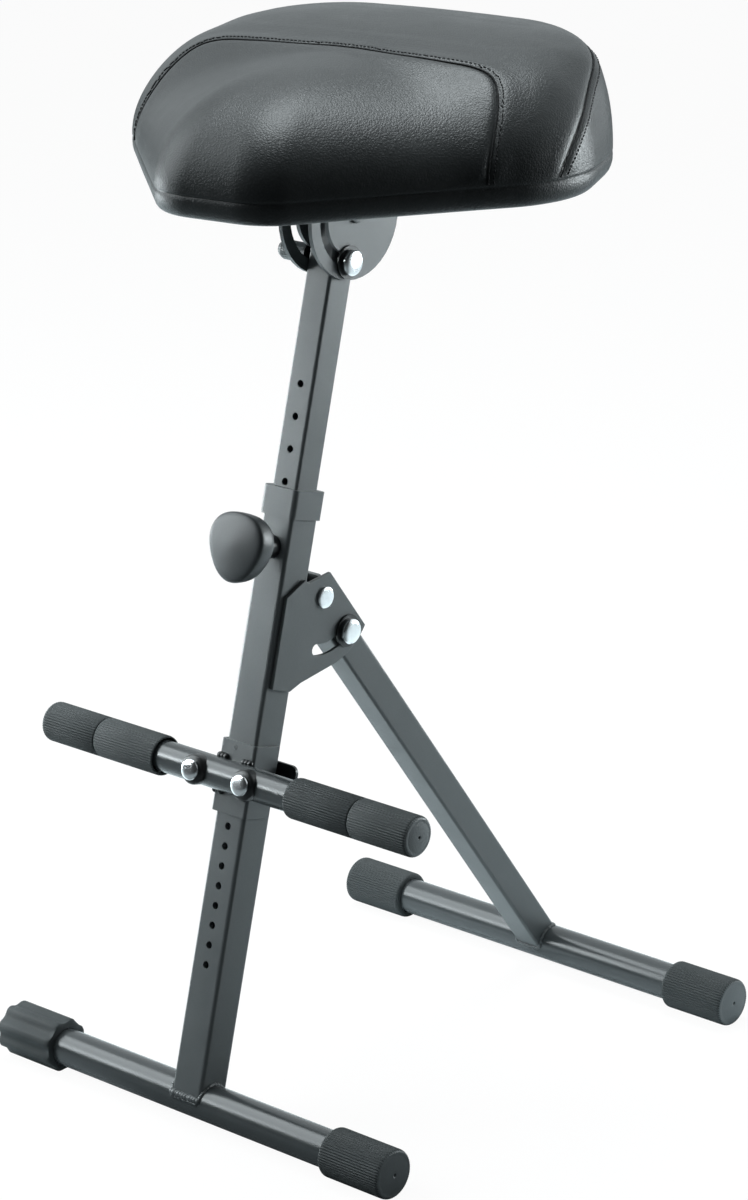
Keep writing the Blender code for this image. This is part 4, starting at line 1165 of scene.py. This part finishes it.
def buildFloor():
    shape = bmesh.new()
    half = stage.half
    corners = ((-half, -half), (half, -half), (half, half), (-half, half))
    shape.faces.new([shape.verts.new((x, y, stage.floorLevel)) for x, y in corners])
    look = bpy.data.materials.new("paleFloor")
    tree, leave = emptyTree(look, "Material")
    spot = addNode(tree, "TexCoord").outputs["Object"]
    away = vectorMath(tree, "SUBTRACT", i0=spot, i1=stage.darkFrom)[0]
    way = vectorMath(tree, "NORMALIZE", i0=away)[0]
    pale = sideTone(tree, way, stage.floorDark, stage.floorTone)
    seen = lightPath(tree, "Is Camera Ray", "Is Transmission Ray")
    lit = addNode(tree, "BsdfDiffuse", Color=mixColour(tree, seen, pale, white))
    glow = addNode(tree, "Emission", Color=white, Strength=1.0)
    share = mathNode(tree, "MULTIPLY", seen, stage.floorWhite)
    both = addNode(tree, "MixShader", i0=share, i1=lit.outputs[0], i2=glow.outputs[0])
    tree.links.new(both.outputs[0], leave.inputs[0])
    meshPiece("floor", shape, look)


def buildWorld():
    world = bpy.data.worlds.new("studio")
    scene.world = world
    tree, leave = emptyTree(world, "World")
    way = addNode(tree, "TexCoord").outputs["Generated"]
    tone = sideTone(tree, way, stage.mirrorDark, stage.mirrorPale)
    mirror = addNode(tree, "Background", Color=tone, Strength=1.0).outputs[0]
    back = addNode(tree, "Background", Color=white, Strength=1.0).outputs[0]
    fill = addNode(tree, "Background", Color=(*stage.tint, 1), Strength=stage.fill).outputs[0]
    lit = addNode(tree, "MixShader", i0=lightPath(tree, "Is Glossy Ray"), i1=fill, i2=mirror).outputs[0]
    seen = lightPath(tree, "Is Camera Ray", "Is Transmission Ray")
    both = addNode(tree, "MixShader", i0=seen, i1=lit, i2=back)
    tree.links.new(both.outputs[0], leave.inputs[0])


# Lamps: place, aim, size, spread in degrees and power
lamps = {
    "leftSoftbox": ((-1.55, -1.0, 1.8), (0, -0.1, 0.4), 1.9, 180, 54),
    "frontSoftbox": ((-1.25, -1.15, 0.8), (0, -0.06, 0.30), 0.6, 36, 0.55),
    "columnSpot": ((-1.25, -1.15, 0.8), (0, -0.11, 0.42), 0.3, 15, 0.10),
    "topSoftbox": ((-0.3, 0.3, 2.7), (0, 0, 0.6), 1.2, 180, 66),
    "leftPanel": ((-2.0, -0.42, 0.3), (0, -0.15, 0.74), 0.7, 180, 22),
    "rearRightSoftbox": ((0.95, 1.6, 0.8), (0, -0.05, 0.82), 1.1, 44, 5.5),
}


def buildLamps():
    for name, (place, aim, size, spread, power) in lamps.items():
        lamp = bpy.data.lights.new(name, "AREA")
        lamp.shape = "SQUARE"
        lamp.size = size
        lamp.spread = math.radians(spread)
        lamp.energy = power
        lamp.color = stage.tint
        stand = linked(name, lamp)
        stand.location = place
        stand.rotation_euler = (Vector(aim) - Vector(place)).to_track_quat("-Z", "Y").to_euler()


def buildCamera():
    lens = bpy.data.cameras.new("photoCamera")
    lens.lens = view.lens
    lens.sensor_width = 36.0
    lens.shift_x = view.shiftX
    lens.shift_y = view.shiftY
    lens.clip_end = 200.0
    camera = linked("photoCamera", lens)
    turn = Matrix.Rotation(view.azimuth, 4, "Z") @ Matrix.Rotation(math.pi / 2 - view.elevation, 4, "X")
    camera.matrix_world = Matrix.Translation(view.place) @ turn @ Matrix.Rotation(view.roll, 4, "Z")
    scene.camera = camera


buildFloor()
buildWorld()
buildLamps()
buildCamera()
scene.view_settings.view_transform = "Standard"
